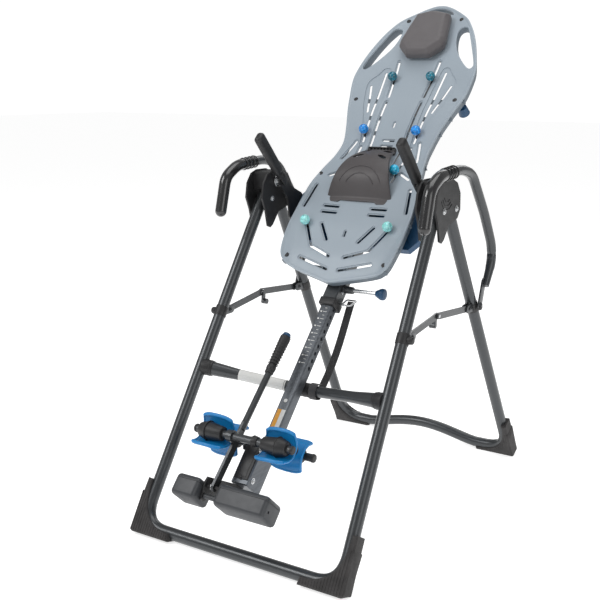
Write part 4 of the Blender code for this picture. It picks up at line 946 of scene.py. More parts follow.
SLOTS = {"upper": ((0.0645, 0.445), (0.0755, 0.592)),
         "long": ((0.055, 0.118), (0.0635, 0.420)),
         "middle": ((0.0925, 0.258), (0.110, 0.545)),
         "lumbar": ((0.086, 0.082), (0.090, 0.232)),
         "outer": ((0.118, 0.376), (0.147, 0.488)),
         "slant": ((0.135, 0.176), (0.115, 0.254)),
         "wing": ((0.105, 0.116), (0.140, 0.094)),
         "side": ((0.181, -0.034), (0.167, 0.048)),
         "dash_high": ((0.060, -0.026), (0.108, -0.026)),
         "dash_low": ((0.060, -0.049), (0.108, -0.049)),
         "inner": ((0.056, -0.146), (0.092, -0.093)),
         "lower": ((0.028, -0.202), (0.101, -0.174), (0.147, -0.093)),
         "foot": ((0.022, -0.244), (0.124, -0.217))}
VENTS = (((-0.018, 0.263), (0.018, 0.263)), ((-0.018, 0.240), (0.018, 0.240)),
         ((0.0, 0.316), (0.0, 0.332)), ((0.0, -0.128), (0.0, -0.112)))
SIDE_HOLD = ((0.108, 0.7315), (0.135, 0.7315), (0.152, 0.696), (0.180, 0.630),
             (0.200, 0.580), (0.205, 0.560), (0.190, 0.548), (0.148, 0.594),
             (0.115, 0.648), (0.102, 0.705))
TOP_HOLD = ((-0.066, 0.793), (-0.030, 0.7985), (0.0, 0.800), (0.030, 0.7985),
            (0.066, 0.793), (0.042, 0.817), (0.0, 0.830), (-0.042, 0.817))
PANEL = ((0.0835, 0.240), (0.0835, 0.240), (0.1015, 0.240), (0.1015, 0.262),
         (0.114, 0.320), (0.128, 0.360), (0.146, 0.410), (0.163, 0.480),
         (0.160, 0.512), (0.133, 0.540), (0.120, 0.566), (0.096, 0.566),
         (0.090, 0.530), (0.082, 0.400))
PANEL_SLOTS = ("middle", "outer")


def between(table, y):
    """A table's value at a place, on straight lines between its stations."""
    for (y0, v0), (y1, v1) in zip(table, table[1:]):
        if y <= y1:
            return v0 + (v1 - v0) * max(0.0, (y - y0) / (y1 - y0))
    return table[-1][1]


def bow(y):
    """The board's bow, its corners eased over 3 cm."""
    return sum(between(BOW, y + 0.0075 * k) for k in range(-2, 3)) / 5


EDGE_BY_Y = [(y, x) for x, y in EDGE]


def surface(x, y):
    """The board's front face: its bow, and the creases that raise its wings."""
    out = abs(x)
    level = BED_FACE + bow(y) + 0.005 * (out / 0.20) ** 2
    if y < -0.03:
        crease = between(((-0.295, 0.140), (-0.145, 0.176), (-0.030, 0.212)), y)
        level += 0.30 * min(0.040, max(0.0, out - crease))
    if 0.42 < y:
        crease = between(((0.42, 0.228), (0.56, 0.118), (0.62, 0.086), (0.84, 0.070)), y)
        level += 0.12 * min(0.060, max(0.0, out - crease))
    return level


def outline(inset=0.0):
    """The board's outline, run round from the lower tip, or drawn in by an inset."""
    loop = rounded(list(EDGE) + flipped(EDGE)[::-1])
    if not inset:
        return loop
    ahead = loop[1:] + loop[:1]
    behind = loop[-1:] + loop[:-1]
    moved = []
    for before, here, after in zip(behind, loop, ahead):
        along = (after - before).normalized()
        moved.append(here + Vector((-along.y, along.x)) * inset)
    return moved


def grown(loop, reach):
    """An outline moved out from its own middle."""
    points = [Vector(p) for p in loop]
    turn = sum(a.x * b.y - a.y * b.x for a, b in zip(points, points[1:] + points[:1]))
    way = -1 if turn > 0 else 1
    out = []
    for before, here, after in zip(points[-1:] + points[:-1], points,
                                   points[1:] + points[:1]):
        along = (after - before).normalized()
        out.append(here + Vector((-along.y, along.x)) * reach * way)
    return out


def both_sides(loop):
    return [loop, flipped(loop)[::-1]]


class TABLE_OT_board(bpy.types.Operator):
    """The moulded bed board: face, grooved slots, hand holds, rim and ribbed back"""
    bl_idname = "table.board"
    bl_label = "Bed board"

    def execute(self, context):
        sizes = settings()[1]
        thick = sizes.board_face
        holds = [rounded(loop) for loop in both_sides(SIDE_HOLD)] + [rounded(TOP_HOLD)]
        grooves, liners = self.slot_plates(sizes)
        panels = [rounded(loop) for loop in both_sides(PANEL)]
        face = plate([outline(RIM_REACH - 0.001), *holds, *grooves, *panels], thick, 0.0012,
                     -thick / 2)
        dress(face, "bed")
        walls = [plate([grown(hold, 0.0045), hold], sizes.board_wall - 0.010, 0.0012,
                       -0.004 - (sizes.board_wall - 0.010) / 2) for hold in holds]
        walls += self.ribs(sizes)
        # The walls round the hand holds and the back ribs are dressed in painted shade, a darker copy of the face
        # colour.
        wall = dress(joined(*walls), "bed_painted_shade")
        floors = dress(joined(*liners), "bed")
        rim = self.rim(sizes.board_wall)
        board = joined(face, floors, wall)
        sliced(board, 1, [BED_LOWER + 0.010 * k for k in range(1, 114)])
        sliced(board, 0, [0.011 * k for k in range(-20, 21)])
        shaped(board, lambda co: Vector((co.x, co.y, co.z + surface(co.x, co.y))))
        board = joined(board, rim)
        settle(board, "bed_shell", "bed", "bed_plastic", bed=True, instead=("bed_board",),
               angle=40)
        self.plugs()
        return {"FINISHED"}

    @staticmethod
    def slot_plates(sizes):
        """Groove outlines for the face, and the slotted floors that lie in them."""
        grooves, liners = [], []
        deep = -sizes.recess
        lines = [SLOTS[name] for name in SLOTS if name not in PANEL_SLOTS]
        lines += [flipped(line) for line in lines]
        for line in [*lines, *VENTS]:
            small = line in VENTS
            wide = 0.0105 if small else sizes.slot_groove
            open_width = 0.0055 if small else sizes.slot_width
            bend = line[1] if len(line) == 3 else None
            grooves.append(stadium(line[0], line[-1], wide, bend=bend))
            liners.append(plate([stadium(line[0], line[-1], wide + 0.003, bend=bend),
                                 stadium(line[0], line[-1], open_width, bend=bend)],
                                0.0034, 0.0008, deep - 0.0017))
        for side, _ in SIDES:
            loop = rounded([(side * -x, y) for x, y in PANEL])
            slots = []
            for name in PANEL_SLOTS:
                start, end = [(side * -x, y) for x, y in SLOTS[name]]
                slots.append(stadium(start, end, sizes.slot_width))
            liners.append(plate([grown(loop, 0.002), *slots], 0.0034, 0.0008, deep - 0.0017))
        return grooves, liners

    @staticmethod
    def ribs(sizes):
        """Stiffening ribs across and along the board's back."""
        made = []
        height = sizes.board_wall - 0.014
        level = -sizes.board_face + 0.001 - height / 2
        for y in (-0.235, -0.160, -0.070, 0.070, 0.160, 0.300, 0.360, 0.434, 0.610, 0.765):
            reach = between(EDGE_BY_Y, y) - 0.008
            if y > 0.6:
                reach = min(reach, 0.100)
            loop = [(-reach, y - 0.0014), (reach, y - 0.0014), (reach, y + 0.0014),
                    (-reach, y + 0.0014)]
            made.append(plate([loop], height, 0.0005, level))
        for x in (-0.038, 0.038):
            loop = [(x - 0.0014, -0.270), (x + 0.0014, -0.270), (x + 0.0014, 0.770),
                    (x - 0.0014, 0.770)]
            made.append(plate([loop], height, 0.0005, level))
        return made

    @staticmethod
    def rim(wall):
        """The rounded shoulder and the outer wall, swept round the outline."""
        inner = RIM_REACH - 0.0015
        turn = [radians(90 - 15 * k) for k in range(7)]
        shoulder = [(inner - 0.0065 + 0.0065 * cos(t), -0.0065 + 0.0075 * sin(t))
                    for t in turn]
        profile = [(-0.002, 0.0004), (0.0008, 0.0011)] + shoulder
        profile += [(RIM_REACH, -wall * 0.6), (RIM_REACH, -wall + 0.003),
                    (RIM_REACH - 0.0015, -wall), (RIM_REACH - 0.0052, -wall),
                    (RIM_REACH - 0.0062, -wall + 0.0015), (RIM_REACH - 0.0064, -0.012),
                    (RIM_REACH - 0.0080, -0.0070), (-0.002, -0.0066)]
        section = bpy.data.curves.new("rim_section", "CURVE")
        section.dimensions = "2D"
        add_spline(section, [(-u, w) for u, w in profile], True)
        holder = bpy.data.objects.new("rim_section", section)
        bpy.context.scene.collection.objects.link(holder)
        sweep = bpy.data.curves.new("rim", "CURVE")
        sweep.dimensions = "3D"
        sweep.twist_mode = "Z_UP"
        sweep.bevel_mode = "OBJECT"
        sweep.bevel_object = holder
        add_spline(sweep, [(p.x, p.y, 0.0) for p in outline(RIM_REACH)], True)
        rim = from_curve(sweep)
        bpy.data.objects.remove(holder)
        shaped(rim, lambda co: Vector((co.x, co.y, co.z + surface(co.x, co.y))))
        rim.data.materials.append(finish_of("bed"))
        # The outer wall below the shoulder takes the second material, painted shade: a darker copy of the face
        # colour.
        rim.data.materials.append(finish_of("bed_painted_shade"))
        for face in rim.data.polygons:
            middle = face.center
            below = middle.z - surface(middle.x, middle.y)
            face.material_index = 1 if below < -0.0085 else 0
        return rim

    @staticmethod
    def plugs():
        """Round black plugs over the board's screws."""
        made = []
        for x, y in ((0.099, 0.768), (0.181, 0.427), (0.175, 0.097), (0.171, -0.217)):
            for side, _ in SIDES:
                level = surface(x, y)
                made.append(rod((side * x, y, level - 0.003), (side * x, y, level + 0.0010),
                                0.0080, 0.0074, 32, 0.0007))
        settle(joined(*made), "screw_plugs", "bed", "black_plastic", "black", bed=True)


class TABLE_OT_headrest(bpy.types.Operator):
    """The six-sided head rest, its skin puffed over soft foam"""
    bl_idname = "table.headrest"
    bl_label = "Head rest"

    def execute(self, context):
        low, high = bed_box("headrest_pad")
        wide, bottom, top = high.x - 0.001, low.y + 0.001, high.y - 0.001
        right = [(wide * 0.52, bottom), (wide * 0.96, bottom + 0.038),
                 (wide, bottom + 0.060), (wide * 0.76, top - 0.014), (0.016, top)]
        loop = right + flipped(right)[::-1]
        base = surface(0, (bottom + top) / 2) + 0.003
        tall = high.z - base - 0.002
        pad = plate([loop], tall * 0.62, 0.003, base + tall * 0.31, 3)
        crown = self.crown(loop, base + tall * 0.55, tall * 0.45, bottom, top)
        pad = joined(pad, crown)
        modify(pad, "REMESH", mode="VOXEL", voxel_size=0.0036)
        self.puff(pad)
        modify(pad, "SMOOTH", factor=0.5, iterations=3)
        settle(pad, "head_pad", "bed", "headrest_foam", "foam", bed=True,
               instead=("headrest_pad",), angle=60)
        return {"FINISHED"}

    @staticmethod
    def crown(loop, level, tall, bottom, top):
        """The chamfered upper part, narrower towards its top."""
        crown = plate([loop], tall, 0.001, level + tall / 2)
        middle = Vector((0, (bottom + top) / 2 + 0.004))

        def taper(co):
            share = max(0.0, (co.z - level) / tall)
            shrink = 1 - 0.17 * share ** 1.2
            return Vector((middle.x + (co.x - middle.x) * shrink,
                           middle.y + (co.y - middle.y) * (1 - 0.12 * share ** 1.2), co.z))
        return shaped(crown, taper)

    @staticmethod
    def puff(pad):
        """Blow the skin out a little by cloth simulation, and keep the result."""
        before = [v.co.copy() for v in pad.data.vertices]
        cloth = pad.modifiers.new("cloth", "CLOTH")
        cloth.settings.use_pressure = True
        cloth.settings.uniform_pressure_force = 3.0
        cloth.settings.tension_stiffness = 30
        cloth.settings.compression_stiffness = 30
        cloth.settings.bending_stiffness = 3
        cloth.settings.effector_weights.gravity = 0
        scene = bpy.context.scene
        for step in range(1, 13):
            scene.frame_set(step)
        choose(pad)
        bpy.ops.object.modifier_apply(modifier=cloth.name)
        scene.frame_set(1)
        cap = 0.0018
        for vert, was in zip(pad.data.vertices, before):
            shift = vert.co - was
            if shift.length > cap:
                vert.co = was + shift.normalized() * cap


class TABLE_OT_bridge(bpy.types.Operator):
    """The arched lumbar bridge with its openings and the slotted clip above it"""
    bl_idname = "table.bridge"
    bl_label = "Lumbar bridge"

    def execute(self, context):
        low, high = bed_box("lumbar_bridge")
        span = high.y + 0.020 - low.y
        half = high.x
        crest = high.z

        def half_width(share):
            if share < 0.07:
                return half * (0.90 + 0.10 * sqrt(share / 0.07))
            return half * (1 - 0.60 * ((share - 0.05) / 0.95) ** 1.1)

        right = [(half_width(k / 24), low.y + span * k / 24) for k in range(25)]
        foot_notch = [(-half * 0.60, low.y), (-half * 0.52, low.y + 0.006),
                      (half * 0.52, low.y + 0.006), (half * 0.60, low.y)]
        loop = foot_notch + right + flipped(right)[::-1]
        holes = [stadium((-0.045, low.y + span * 0.880), (-0.030, low.y + span * 0.893),
                         0.015),
                 stadium((0.030, low.y + span * 0.893), (0.045, low.y + span * 0.880), 0.015)]
        for side, _ in SIDES:
            holes.append(rounded([(side * 0.052, low.y + span * 0.640),
                                  (side * 0.020, low.y + span * 0.735),
                                  (side * 0.034, low.y + span * 0.755),
                                  (side * 0.062, low.y + span * 0.690)], 2))
        shell = plate([loop, *holes], 0.0080, 0.0018, 0.0)
        sliced(shell, 1, [low.y + span * k / 30 for k in range(1, 30)])
        sliced(shell, 0, [half * k / 9 for k in range(-8, 9)])
        foot = low.z + 0.004

        def arch(co):
            share = min(1.0, max(0.0, (co.y - low.y) / span))
            rise = (crest - foot - 0.004) * max(0.0, sin(pi * share)) ** 0.8
            base = surface(0, co.y) + 0.0055
            top = max(foot + rise, base)
            edge = abs(co.x) / max(0.02, half_width(share))
            droop = 0.006 * edge ** 3
            dome = 0.004 * exp(-((share - 0.34) / 0.16) ** 2 - (co.x / 0.07) ** 2)
            return Vector((co.x, co.y, co.z + top - droop + dome - 0.004))
        shaped(shell, arch)
        settle(shell, "bridge_shell", "bed", "bridge_rubber", "bridge", bed=True,
               instead=("lumbar_bridge",), angle=50)
        self.trim(low, span, arch)
        self.clip()
        return {"FINISHED"}

    @staticmethod
    def trim(low, span, arch):
        """Raised arcs on the bridge's dome."""
        arcs = []
        for radius, low_turn, high_turn in ((0.083, 28, 152), (0.060, 35, 145)):
            turns = [radians(low_turn + (high_turn - low_turn) * k / 16) for k in range(17)]
            points = []
            for t in turns:
                flat = Vector((radius * 0.98 * cos(t),
                               low.y + span * 0.06 + radius * 1.15 * sin(t), 0.0048))
                points.append(arch(flat))
            arcs.append(tube(points, 0.0013, sides=12))
        settle(joined(*arcs), "bridge_arcs", "bed", "bridge_rubber", "bridge", bed=True)

    @staticmethod
    def clip():
        """The slotted block that the bridge's upper end hooks into."""
        low, high = bed_box("lumbar_clip")
        middle = (low + high) / 2
        size = high - low
        body = block((size.x, size.y, size.z * 0.82),
                     (middle.x, middle.y, middle.z - size.z * 0.08), 0.0022)
        for k in range(7):
            x = middle.x + size.x * (k - 3) / 8.4
            cut(body, block((size.x / 14, size.y * 0.36, size.z), (x, middle.y + 0.003,
                                                                 middle.z + size.z * 0.25),
                            0.0008, 2))
        lip = block((size.x * 0.96, 0.0035, size.z * 0.98), (middle.x, high.y - 0.0022,
                                                             middle.z), 0.0010)
        settle(joined(body, lip), "clip_block", "bed", "black_plastic", "black", bed=True,
               instead=("lumbar_clip",))


class TABLE_OT_balls(bpy.types.Operator):
    """Massage balls with a screwdriver slot and dimples, each on its sliding stem"""
    bl_idname = "table.balls"
    bl_label = "Massage balls"

    def execute(self, context):
        for kind in ("upper", "middle", "lumbar", "lower"):
            for _, name in SIDES:
                low, high = bed_box(f"ball_{kind}_{name}")
                radius = (high.x - low.x) / 2
                centre = Vector(((low.x + high.x) / 2, (low.y + high.y) / 2,
                                 high.z - radius))
                body = ball(centre, radius, 48)
                for turn in (0.5, 2.1, 3.9, 5.2):
                    for rise in (0.35, 0.9):
                        aim = Vector((cos(turn + rise) * cos(rise),
                                      sin(turn + rise) * cos(rise), sin(rise)))
                        cut(body, ball(centre + aim * radius * 1.10, radius * 0.19, 16))
                cut(body, block((0.0028, 0.012, 0.006), centre + Vector((0, 0, radius)),
                                0.0006, 2))
                settle(body, f"{kind}_ball_head_{name}", f"{kind}_ball_{name}",
                       f"ball_{self.slot(kind)}", f"ball_{kind}", bed=True,
                       instead=(f"ball_{kind}_{name}",), angle=50)
                stem = self.stem(centre, radius, low.z)
                settle(stem, f"{kind}_ball_stem_{name}", f"{kind}_ball_{name}",
                       "black_plastic", "black", bed=True)
        return {"FINISHED"}

    @staticmethod
    def slot(kind):
        return {"upper": "teal", "middle": "blue", "lumbar": "cyan", "lower": "pale"}[kind]

    @staticmethod
    def stem(centre, radius, low):
        """The neck, its washer, and the wing nut behind the board."""
        neck = rod((centre.x, centre.y, low + 0.004), centre, 0.0032, sides=20)
        collar = rod(centre - Vector((0, 0, radius * 0.99)),
                     centre - Vector((0, 0, radius * 0.86)), 0.0075, 0.0066, 28, 0.0005)
        nut = rod((centre.x, centre.y, low), (centre.x, centre.y, low + 0.005), 0.0108,
                  sides=8, edge=0.0010)
        return joined(neck, collar, nut)


# ---------------------------------------------------------------- bed casing and grips
class TABLE_OT_casing(bpy.types.Operator):
    """Screws of the bed's casing, the sleeve's bush and screws, and the hinge arms' bolts and pivot caps"""
    bl_idname = "table.casing"
    bl_label = "Bed casing"

    def execute(self, context):
        low, high = bed_box("bed_back_pan")
        rails = []
        for side, _ in SIDES:
            for share in (0.22, 0.5, 0.78):
                y = low.y + (high.y - low.y) * share
                rails.append(rod((side * (high.x - 0.0008), y, (low.z + high.z) / 2),
                                 (side * (high.x + 0.0022), y, (low.z + high.z) / 2),
                                 0.0048, 0.0042, 24, 0.0006))
        settle(joined(*rails), "pan_screws", "bed", "bolt_steel", "steel", bed=True)
        self.sleeve()
        for side, name in SIDES:
            inner = side * (0.240 - 0.0002)
            heads = [bolt((side * ARM_FACE_X, y, -0.118), (side, 0, 0), 0.0070, 0.0045)
                     for y in (-0.030, 0.030)]
            heads.append(rod((inner + side * 0.0055, 0, 0), (inner + side * 0.0120, 0, 0),
                             0.0150, sides=40, edge=0.0012))
            settle(joined(*heads), f"arm_bolts_{name}", "bed", "bolt_steel", "steel",
                   bed=True)
        return {"FINISHED"}

    @staticmethod
    def sleeve():
        """The lower mouth's black bush and the clamp screws of the shaft's sleeve."""
        low = bed_box("bed_frame_tube")[0]
        shaft_low, shaft_high = bed_box("main_shaft")
        level = (shaft_low.z + shaft_high.z) / 2
        collar = block((0.0540, 0.026, 0.0540), (0, low.y + 0.0115, level), 0.004)
        cut(collar, block((0.0392, 0.060, 0.0392), (0, low.y + 0.010, level), 0))
        screws = [bolt((side * 0.0242, low.y + y, level), (side, 0, 0), 0.0055, 0.004)
                  for side in (-1, 1) for y in (0.060, 0.180)]
        settle(collar, "sleeve_bush", "bed", "black_plastic", "black", bed=True)
        settle(joined(*screws), "sleeve_screws", "bed", "bolt_steel", "steel", bed=True)


class TABLE_OT_side_grips(bpy.types.Operator):
    """Long flat side grips with finger ridges, on black stalks"""
    bl_idname = "table.side_grips"
    bl_label = "Side grips"

    def execute(self, context):
        tilt = radians(-4)
        for side, name in SIDES:
            low, high = bed_box(f"side_grip_{name}")
            x = side * (0.2397 - 0.013 + 0.014)
            size = Vector((0.0262, 0.0342, 0.1650))
            base = low.z + 0.030
            middle = Vector((x, 0.012, high.z - 0.0015 - size.z / 2))
            paddle = block(size, (0, 0, 0), 0.0105, 6)
            sliced(paddle, 2, [0.011 * k for k in range(-6, 7)])
            shaped(paddle, lambda co: Vector((
                co.x * (1 + 0.06 * cos(pi * co.z / size.z)),
                co.y * (1 + 0.10 * (co.z / size.z + 0.5)), co.z)))
            for k in range(9):
                z = -size.z * 0.30 + size.z * 0.078 * k
                cut(paddle, block((0.06, 0.0026, 0.0042), (0, -size.y * 0.56, z), 0.0008, 2))
            move(paddle, Matrix.Translation(middle) @ Matrix.Rotation(tilt, 4, "X"))
            boot = rod((x, 0.006, base - 0.004), (x, 0.007, base + 0.014), 0.0160, 0.0135,
                       36, 0.003)
            stalk = block((0.0098, 0.026, 0.060), (side * 0.2347, 0.004, 0.018), 0.0025)
            settle(joined(paddle, boot, stalk), f"side_paddle_{name}", "bed", "grip_vinyl",
                   "black", bed=True, instead=(f"side_grip_{name}",))
        return {"FINISHED"}


# ---------------------------------------------------------------- height adjustment
class TABLE_OT_shaft(bpy.types.Operator):
    """The main shaft's rounded bar, its holes, scale marks and plain stripe"""
    bl_idname = "table.shaft"
    bl_label = "Main shaft"

    def execute(self, context):
        low, high = bed_box("main_shaft")
        middle = (low + high) / 2
        size = high - low
        size.x = min(size.x, size.z)
        centre = Vector((0, middle.y, middle.z))
        bar = block((size.x - 0.0004, size.y - 0.0004, size.z - 0.0004), centre, 0.0042, 4)
        holes = []
        for k in range(19):
            y = -0.270 + 0.0254 * (k - 11)
            if low.y + 0.14 < y < high.y - 0.03:
                holes.append(rod((size.x / 2 - 0.006, y, centre.z),
                                 (size.x / 2 + 0.004, y, centre.z), 0.0062, sides=20))
        cut(bar, joined(*holes))
        settle(bar, "shaft_bar", "shaft", "shaft_steel", "shaft", bed=True,
               instead=("main_shaft",), angle=40)
        self.marks(size, centre)
        self.knob()
        return {"FINISHED"}

    @staticmethod
    def marks(size, centre):
        """Scale ticks, a dot and a plain two-colour stripe on the shaft's front."""
        face = centre.z + size.z / 2
        ticks = []
        for k in range(18):
            y = -0.542 + 0.0127 * k
            wide = 0.013 if k % 2 == 0 else 0.007
            ticks.append(block((wide, 0.0016, 0.0007), (0.004, y, face), 0.0002, 1))
            if k % 2 == 0:
                ticks.append(block((0.0055, 0.0042, 0.0007), (-0.0085, y, face), 0.0002, 1))
        dot = rod((0, -0.669, face - 0.0003), (0, -0.669, face + 0.0004), 0.0058, sides=28)
        stripe = [block((0.0140, 0.080, 0.0007), (0.0070, -0.738, face), 0.0003, 1)]
        settle(joined(dot, *ticks, *stripe), "shaft_marks", "shaft", "shaft_steel", "white",
               bed=True)
        amber = [block((0.0130, 0.080, 0.0009), (-0.0065, -0.738, face), 0.0003, 1)]
        settle(joined(*amber), "shaft_stripe", "shaft", "shaft_steel", "amber", bed=True)

    @staticmethod
    def knob():
        """The flared pull knob and its collar."""
        low, high = bed_box("selector_knob")
        y, z = (low.y + high.y) / 2, (low.z + high.z) / 2
        length_x = high.x - low.x
        flare = rod((low.x, y, z), (low.x + length_x * 0.62, y, z), 0.0088, 0.0178, 44,
                    0.0015)
        head = rod((low.x + length_x * 0.60, y, z), (high.x, y, z), 0.0182, 0.0170, 44,
                   0.0030)
        nicks = []
        for k in range(14):
            turn = 2 * pi * k / 14
            start = Vector((low.x + length_x * 0.55, y + 0.0198 * cos(turn),
                            z + 0.0198 * sin(turn)))
            nicks.append(rod(start, start + Vector((length_x * 0.5, 0, 0)), 0.0028,
                             sides=12))
        cut(head, joined(*nicks))
        settle(joined(flare, head), "pull_knob", "selector", "navy_paint", "navy",
               bed=True, instead=("selector_knob",))
        boss = rod((0.0245, y, z), (0.058, y, z), 0.0125, 0.0105, 40, 0.0015)
        nut = rod((0.0235, y, z), (0.0300, y, z), 0.0155, sides=6, edge=0.0008)
        settle(joined(boss, nut), "selector_boss", "bed", "bolt_steel", "frame", bed=True)


# ---------------------------------------------------------------- ankle lock
class TABLE_OT_lock(bpy.types.Operator):
    """The ankle lock: carriage seams and bolts, hubs, lever grip, cap and button"""
    bl_idname = "table.lock"
    bl_label = "Ankle lock"

    def execute(self, context):
        self.carriage()
        self.lever()
        for node, body, reach in (("front_ankle_rod", "lever", 0.160),
                                  ("rear_ankle_rod", "shaft", 0.178)):
            low, high = bed_box(node)
            y, z = (low.y + high.y) / 2, (low.z + high.z) / 2
            ends = []
            for side, _ in SIDES:
                ends.append(rod((side * (reach - 0.004), y, z), (side * (reach + 0.004), y, z),
                                0.0128, 0.0112, 36, 0.0020))
                ends.append(rod((side * 0.034, y, z), (side * 0.050, y, z), 0.0170, 0.0140,
                                40, 0.0015))
            settle(joined(*ends), f"{node}_ends", body, "black_plastic", "black", bed=True)
        return {"FINISHED"}

    @staticmethod
    def carriage():
        """Raised front plate with its seams, and bolts of the carriage."""
        low, high = bed_box("ankle_carriage")
        face = high.z
        middle_x = (low.x + high.x) / 2
        cover = block((high.x - low.x - 0.008, 0.112, 0.004),
                      (middle_x, (low.y + high.y) / 2, face + 0.0008), 0.0018)
        for y in (low.y + 0.020, low.y + 0.118):
            cover = joined(cover, bolt((middle_x, y, face + 0.0026), (0, 0, 1), 0.0055,
                                       0.0035))
        seams = [block((0.0016, 0.104, 0.0016), (x, (low.y + high.y) / 2, face + 0.0028),
                       0.0004, 1) for x in (middle_x - 0.014, middle_x + 0.014)]
        settle(joined(cover, *seams), "carriage_cover", "shaft", "black_plastic", "black",
               bed=True)
        heads = []
        for y, z in ((low.y + 0.022, low.z + 0.030), (low.y + 0.105, low.z + 0.052)):
            heads.append(bolt((high.x, y, z), (1, 0, 0), 0.0065, 0.004))
            heads.append(bolt((low.x, y, z), (-1, 0, 0), 0.0065, 0.004))
        settle(joined(*heads), "carriage_bolts", "shaft", "bolt_steel", "steel", bed=True)

    @staticmethod
    def lever():
        """The tapered grip with its collar and ribs, and the domed cap and button."""
        pivot, lean = Vector((-0.041, -0.992, -0.055)), radians(2.8)
        along = Vector((0, cos(lean), -sin(lean)))
        top = pivot + along * ((-0.503 + 0.992) / cos(lean))
        low = top - along * 0.115
        stations = ((0.0, 0.0128), (0.005, 0.0140), (0.013, 0.0140), (0.017, 0.0122),
                    (0.030, 0.0124), (0.090, 0.0152), (0.104, 0.0160), (0.115, 0.0156))
        grip = tube([low + along * s for s, _ in stations], 1.0,
                    [r for _, r in stations], sides=44)
        ribs = [ring(low + along * (0.022 + 0.0095 * k), 0.0141 + 0.00012 * k, 0.0011, along)
                for k in range(8)]
        cut(grip, rod(top - along * 0.0095, top + along * 0.0040, 0.0141, 0.0141, 40))
        settle(joined(grip, *ribs), "lever_sleeve", "lever", "grip_vinyl", "black", bed=True,
               instead=("lever_grip",))
        collar = rod(low - along * 0.010, low + along * 0.001, 0.0128, 0.0128, 40, 0.0015)
        settle(collar, "lever_collar", "lever", "black_plastic", "black", bed=True)
        cap = rod(top + along * 0.0008, top + along * 0.0136, 0.0125, 0.0112, 40, 0.0040)
        cap = joined(cap, ring(top + along * 0.0045, 0.0124, 0.0012, along))
        settle(cap, "button_cap", "button", "navy_paint", "navy", bed=True,
               instead=("lever_button",))
        pin = bolt(pivot + Vector((-0.0045, 0, 0)), (-1, 0, 0), 0.0085, 0.005)
        rivets = [bolt(pivot + along * s + Vector((-0.0045, 0, 0)), (-1, 0, 0), 0.0045, 0.003)
                  for s in (0.155, 0.185)]
        settle(joined(pin, *rivets), "lever_rivets", "lever", "bolt_steel", "steel",
               bed=True)


class TABLE_OT_cups(bpy.types.Operator):
    """The ankle cups: blue saddles with curled rims on conical black hubs"""
    bl_idname = "table.cups"
    bl_label = "Ankle cups"

    def execute(self, context):
        for end, facing in (("front", 1), ("rear", -1)):
            rod_low, rod_high = bed_box(f"{end}_ankle_rod")
            y, z = (rod_low.y + rod_high.y) / 2, (rod_low.z + rod_high.z) / 2
            for side, name in SIDES:
                low, high = bed_box(f"{end}_cup_{name}")
                centre = Vector(((low.x + high.x) / 2, y, z))
                body = f"{end}_ankle_cup_{name}"
                settle(self.saddle(facing, side, centre), f"{end}_saddle_{name}", body,
                       "cup_blue", "cup", bed=True, instead=(f"{end}_cup_{name}",),
                       angle=60)
                settle(self.hub(side, centre), f"{end}_cup_hub_{name}", body,
                       "black_plastic", "black", bed=True)
        return {"FINISHED"}

    @staticmethod
    def saddle(facing, side, centre):
        """A shell wrapped round the ankle, its upper and lower rims curled away."""
        wide, tall, curl, wrap = 0.0500, 0.0455, 0.0300, 0.009
        bpy.ops.mesh.primitive_grid_add(x_subdivisions=32, y_subdivisions=32, size=2)
        shell = bpy.context.object

        def saddle_point(co):
            u, v = co.x, co.y
            corner = 1 - 0.10 * max(0.0, abs(u) - 0.45) ** 2 * 3.3
            roll = curl * abs(v) ** 2.6 - wrap * u * u
            lean = 0.0035 * side * u
            return Vector((centre.x + u * wide * (1 - 0.08 * v ** 4),
                           centre.y + v * tall * corner,
                           centre.z + facing * (roll + lean - 0.0150)))
        shaped(shell, saddle_point)
        modify(shell, "SOLIDIFY", thickness=0.0052, offset=-facing)
        modify(shell, "BEVEL", width=0.0021, segments=3, limit_method="ANGLE",
               angle_limit=radians(50))
        lips = []
        for v in (-1, 1):
            path = [saddle_point(Vector((u / 12, v * 0.985, 0))) for u in range(-12, 13)]
            path = [p - Vector((0, 0, facing * 0.0026)) for p in path]
            lips.append(tube(path, 0.0056, [0.80] + [1.0] * 23 + [0.80], sides=20))
        for u in (-1, 1):
            path = [saddle_point(Vector((u * 0.985, v / 12, 0))) for v in range(-12, 13)]
            path = [p - Vector((0, 0, facing * 0.0026)) for p in path]
            lips.append(tube(path, 0.0038, sides=16))
        return joined(shell, *lips)

    @staticmethod
    def hub(side, centre):
        """The ribbed hub that turns on the rod, tapered on its outer side."""
        inner = centre - Vector((side * 0.038, 0, 0))
        waist = centre + Vector((side * 0.010, 0, 0))
        outer = centre + Vector((side * 0.0395, 0, 0))
        pieces = [rod(inner, waist, 0.0200, 0.0262, 48, 0.0020),
                  rod(waist, outer, 0.0285, 0.0195, 48, 0.0030)]
        for piece in pieces:
            bore = rod(inner - Vector((side * 0.01, 0, 0)),
                       outer + Vector((side * 0.01, 0, 0)), 0.0114, sides=36)
            cut(piece, bore)
        pieces.append(ring(waist + Vector((side * 0.001, 0, 0)), 0.0274, 0.0018, (1, 0, 0),
                           48))
        return joined(*pieces)


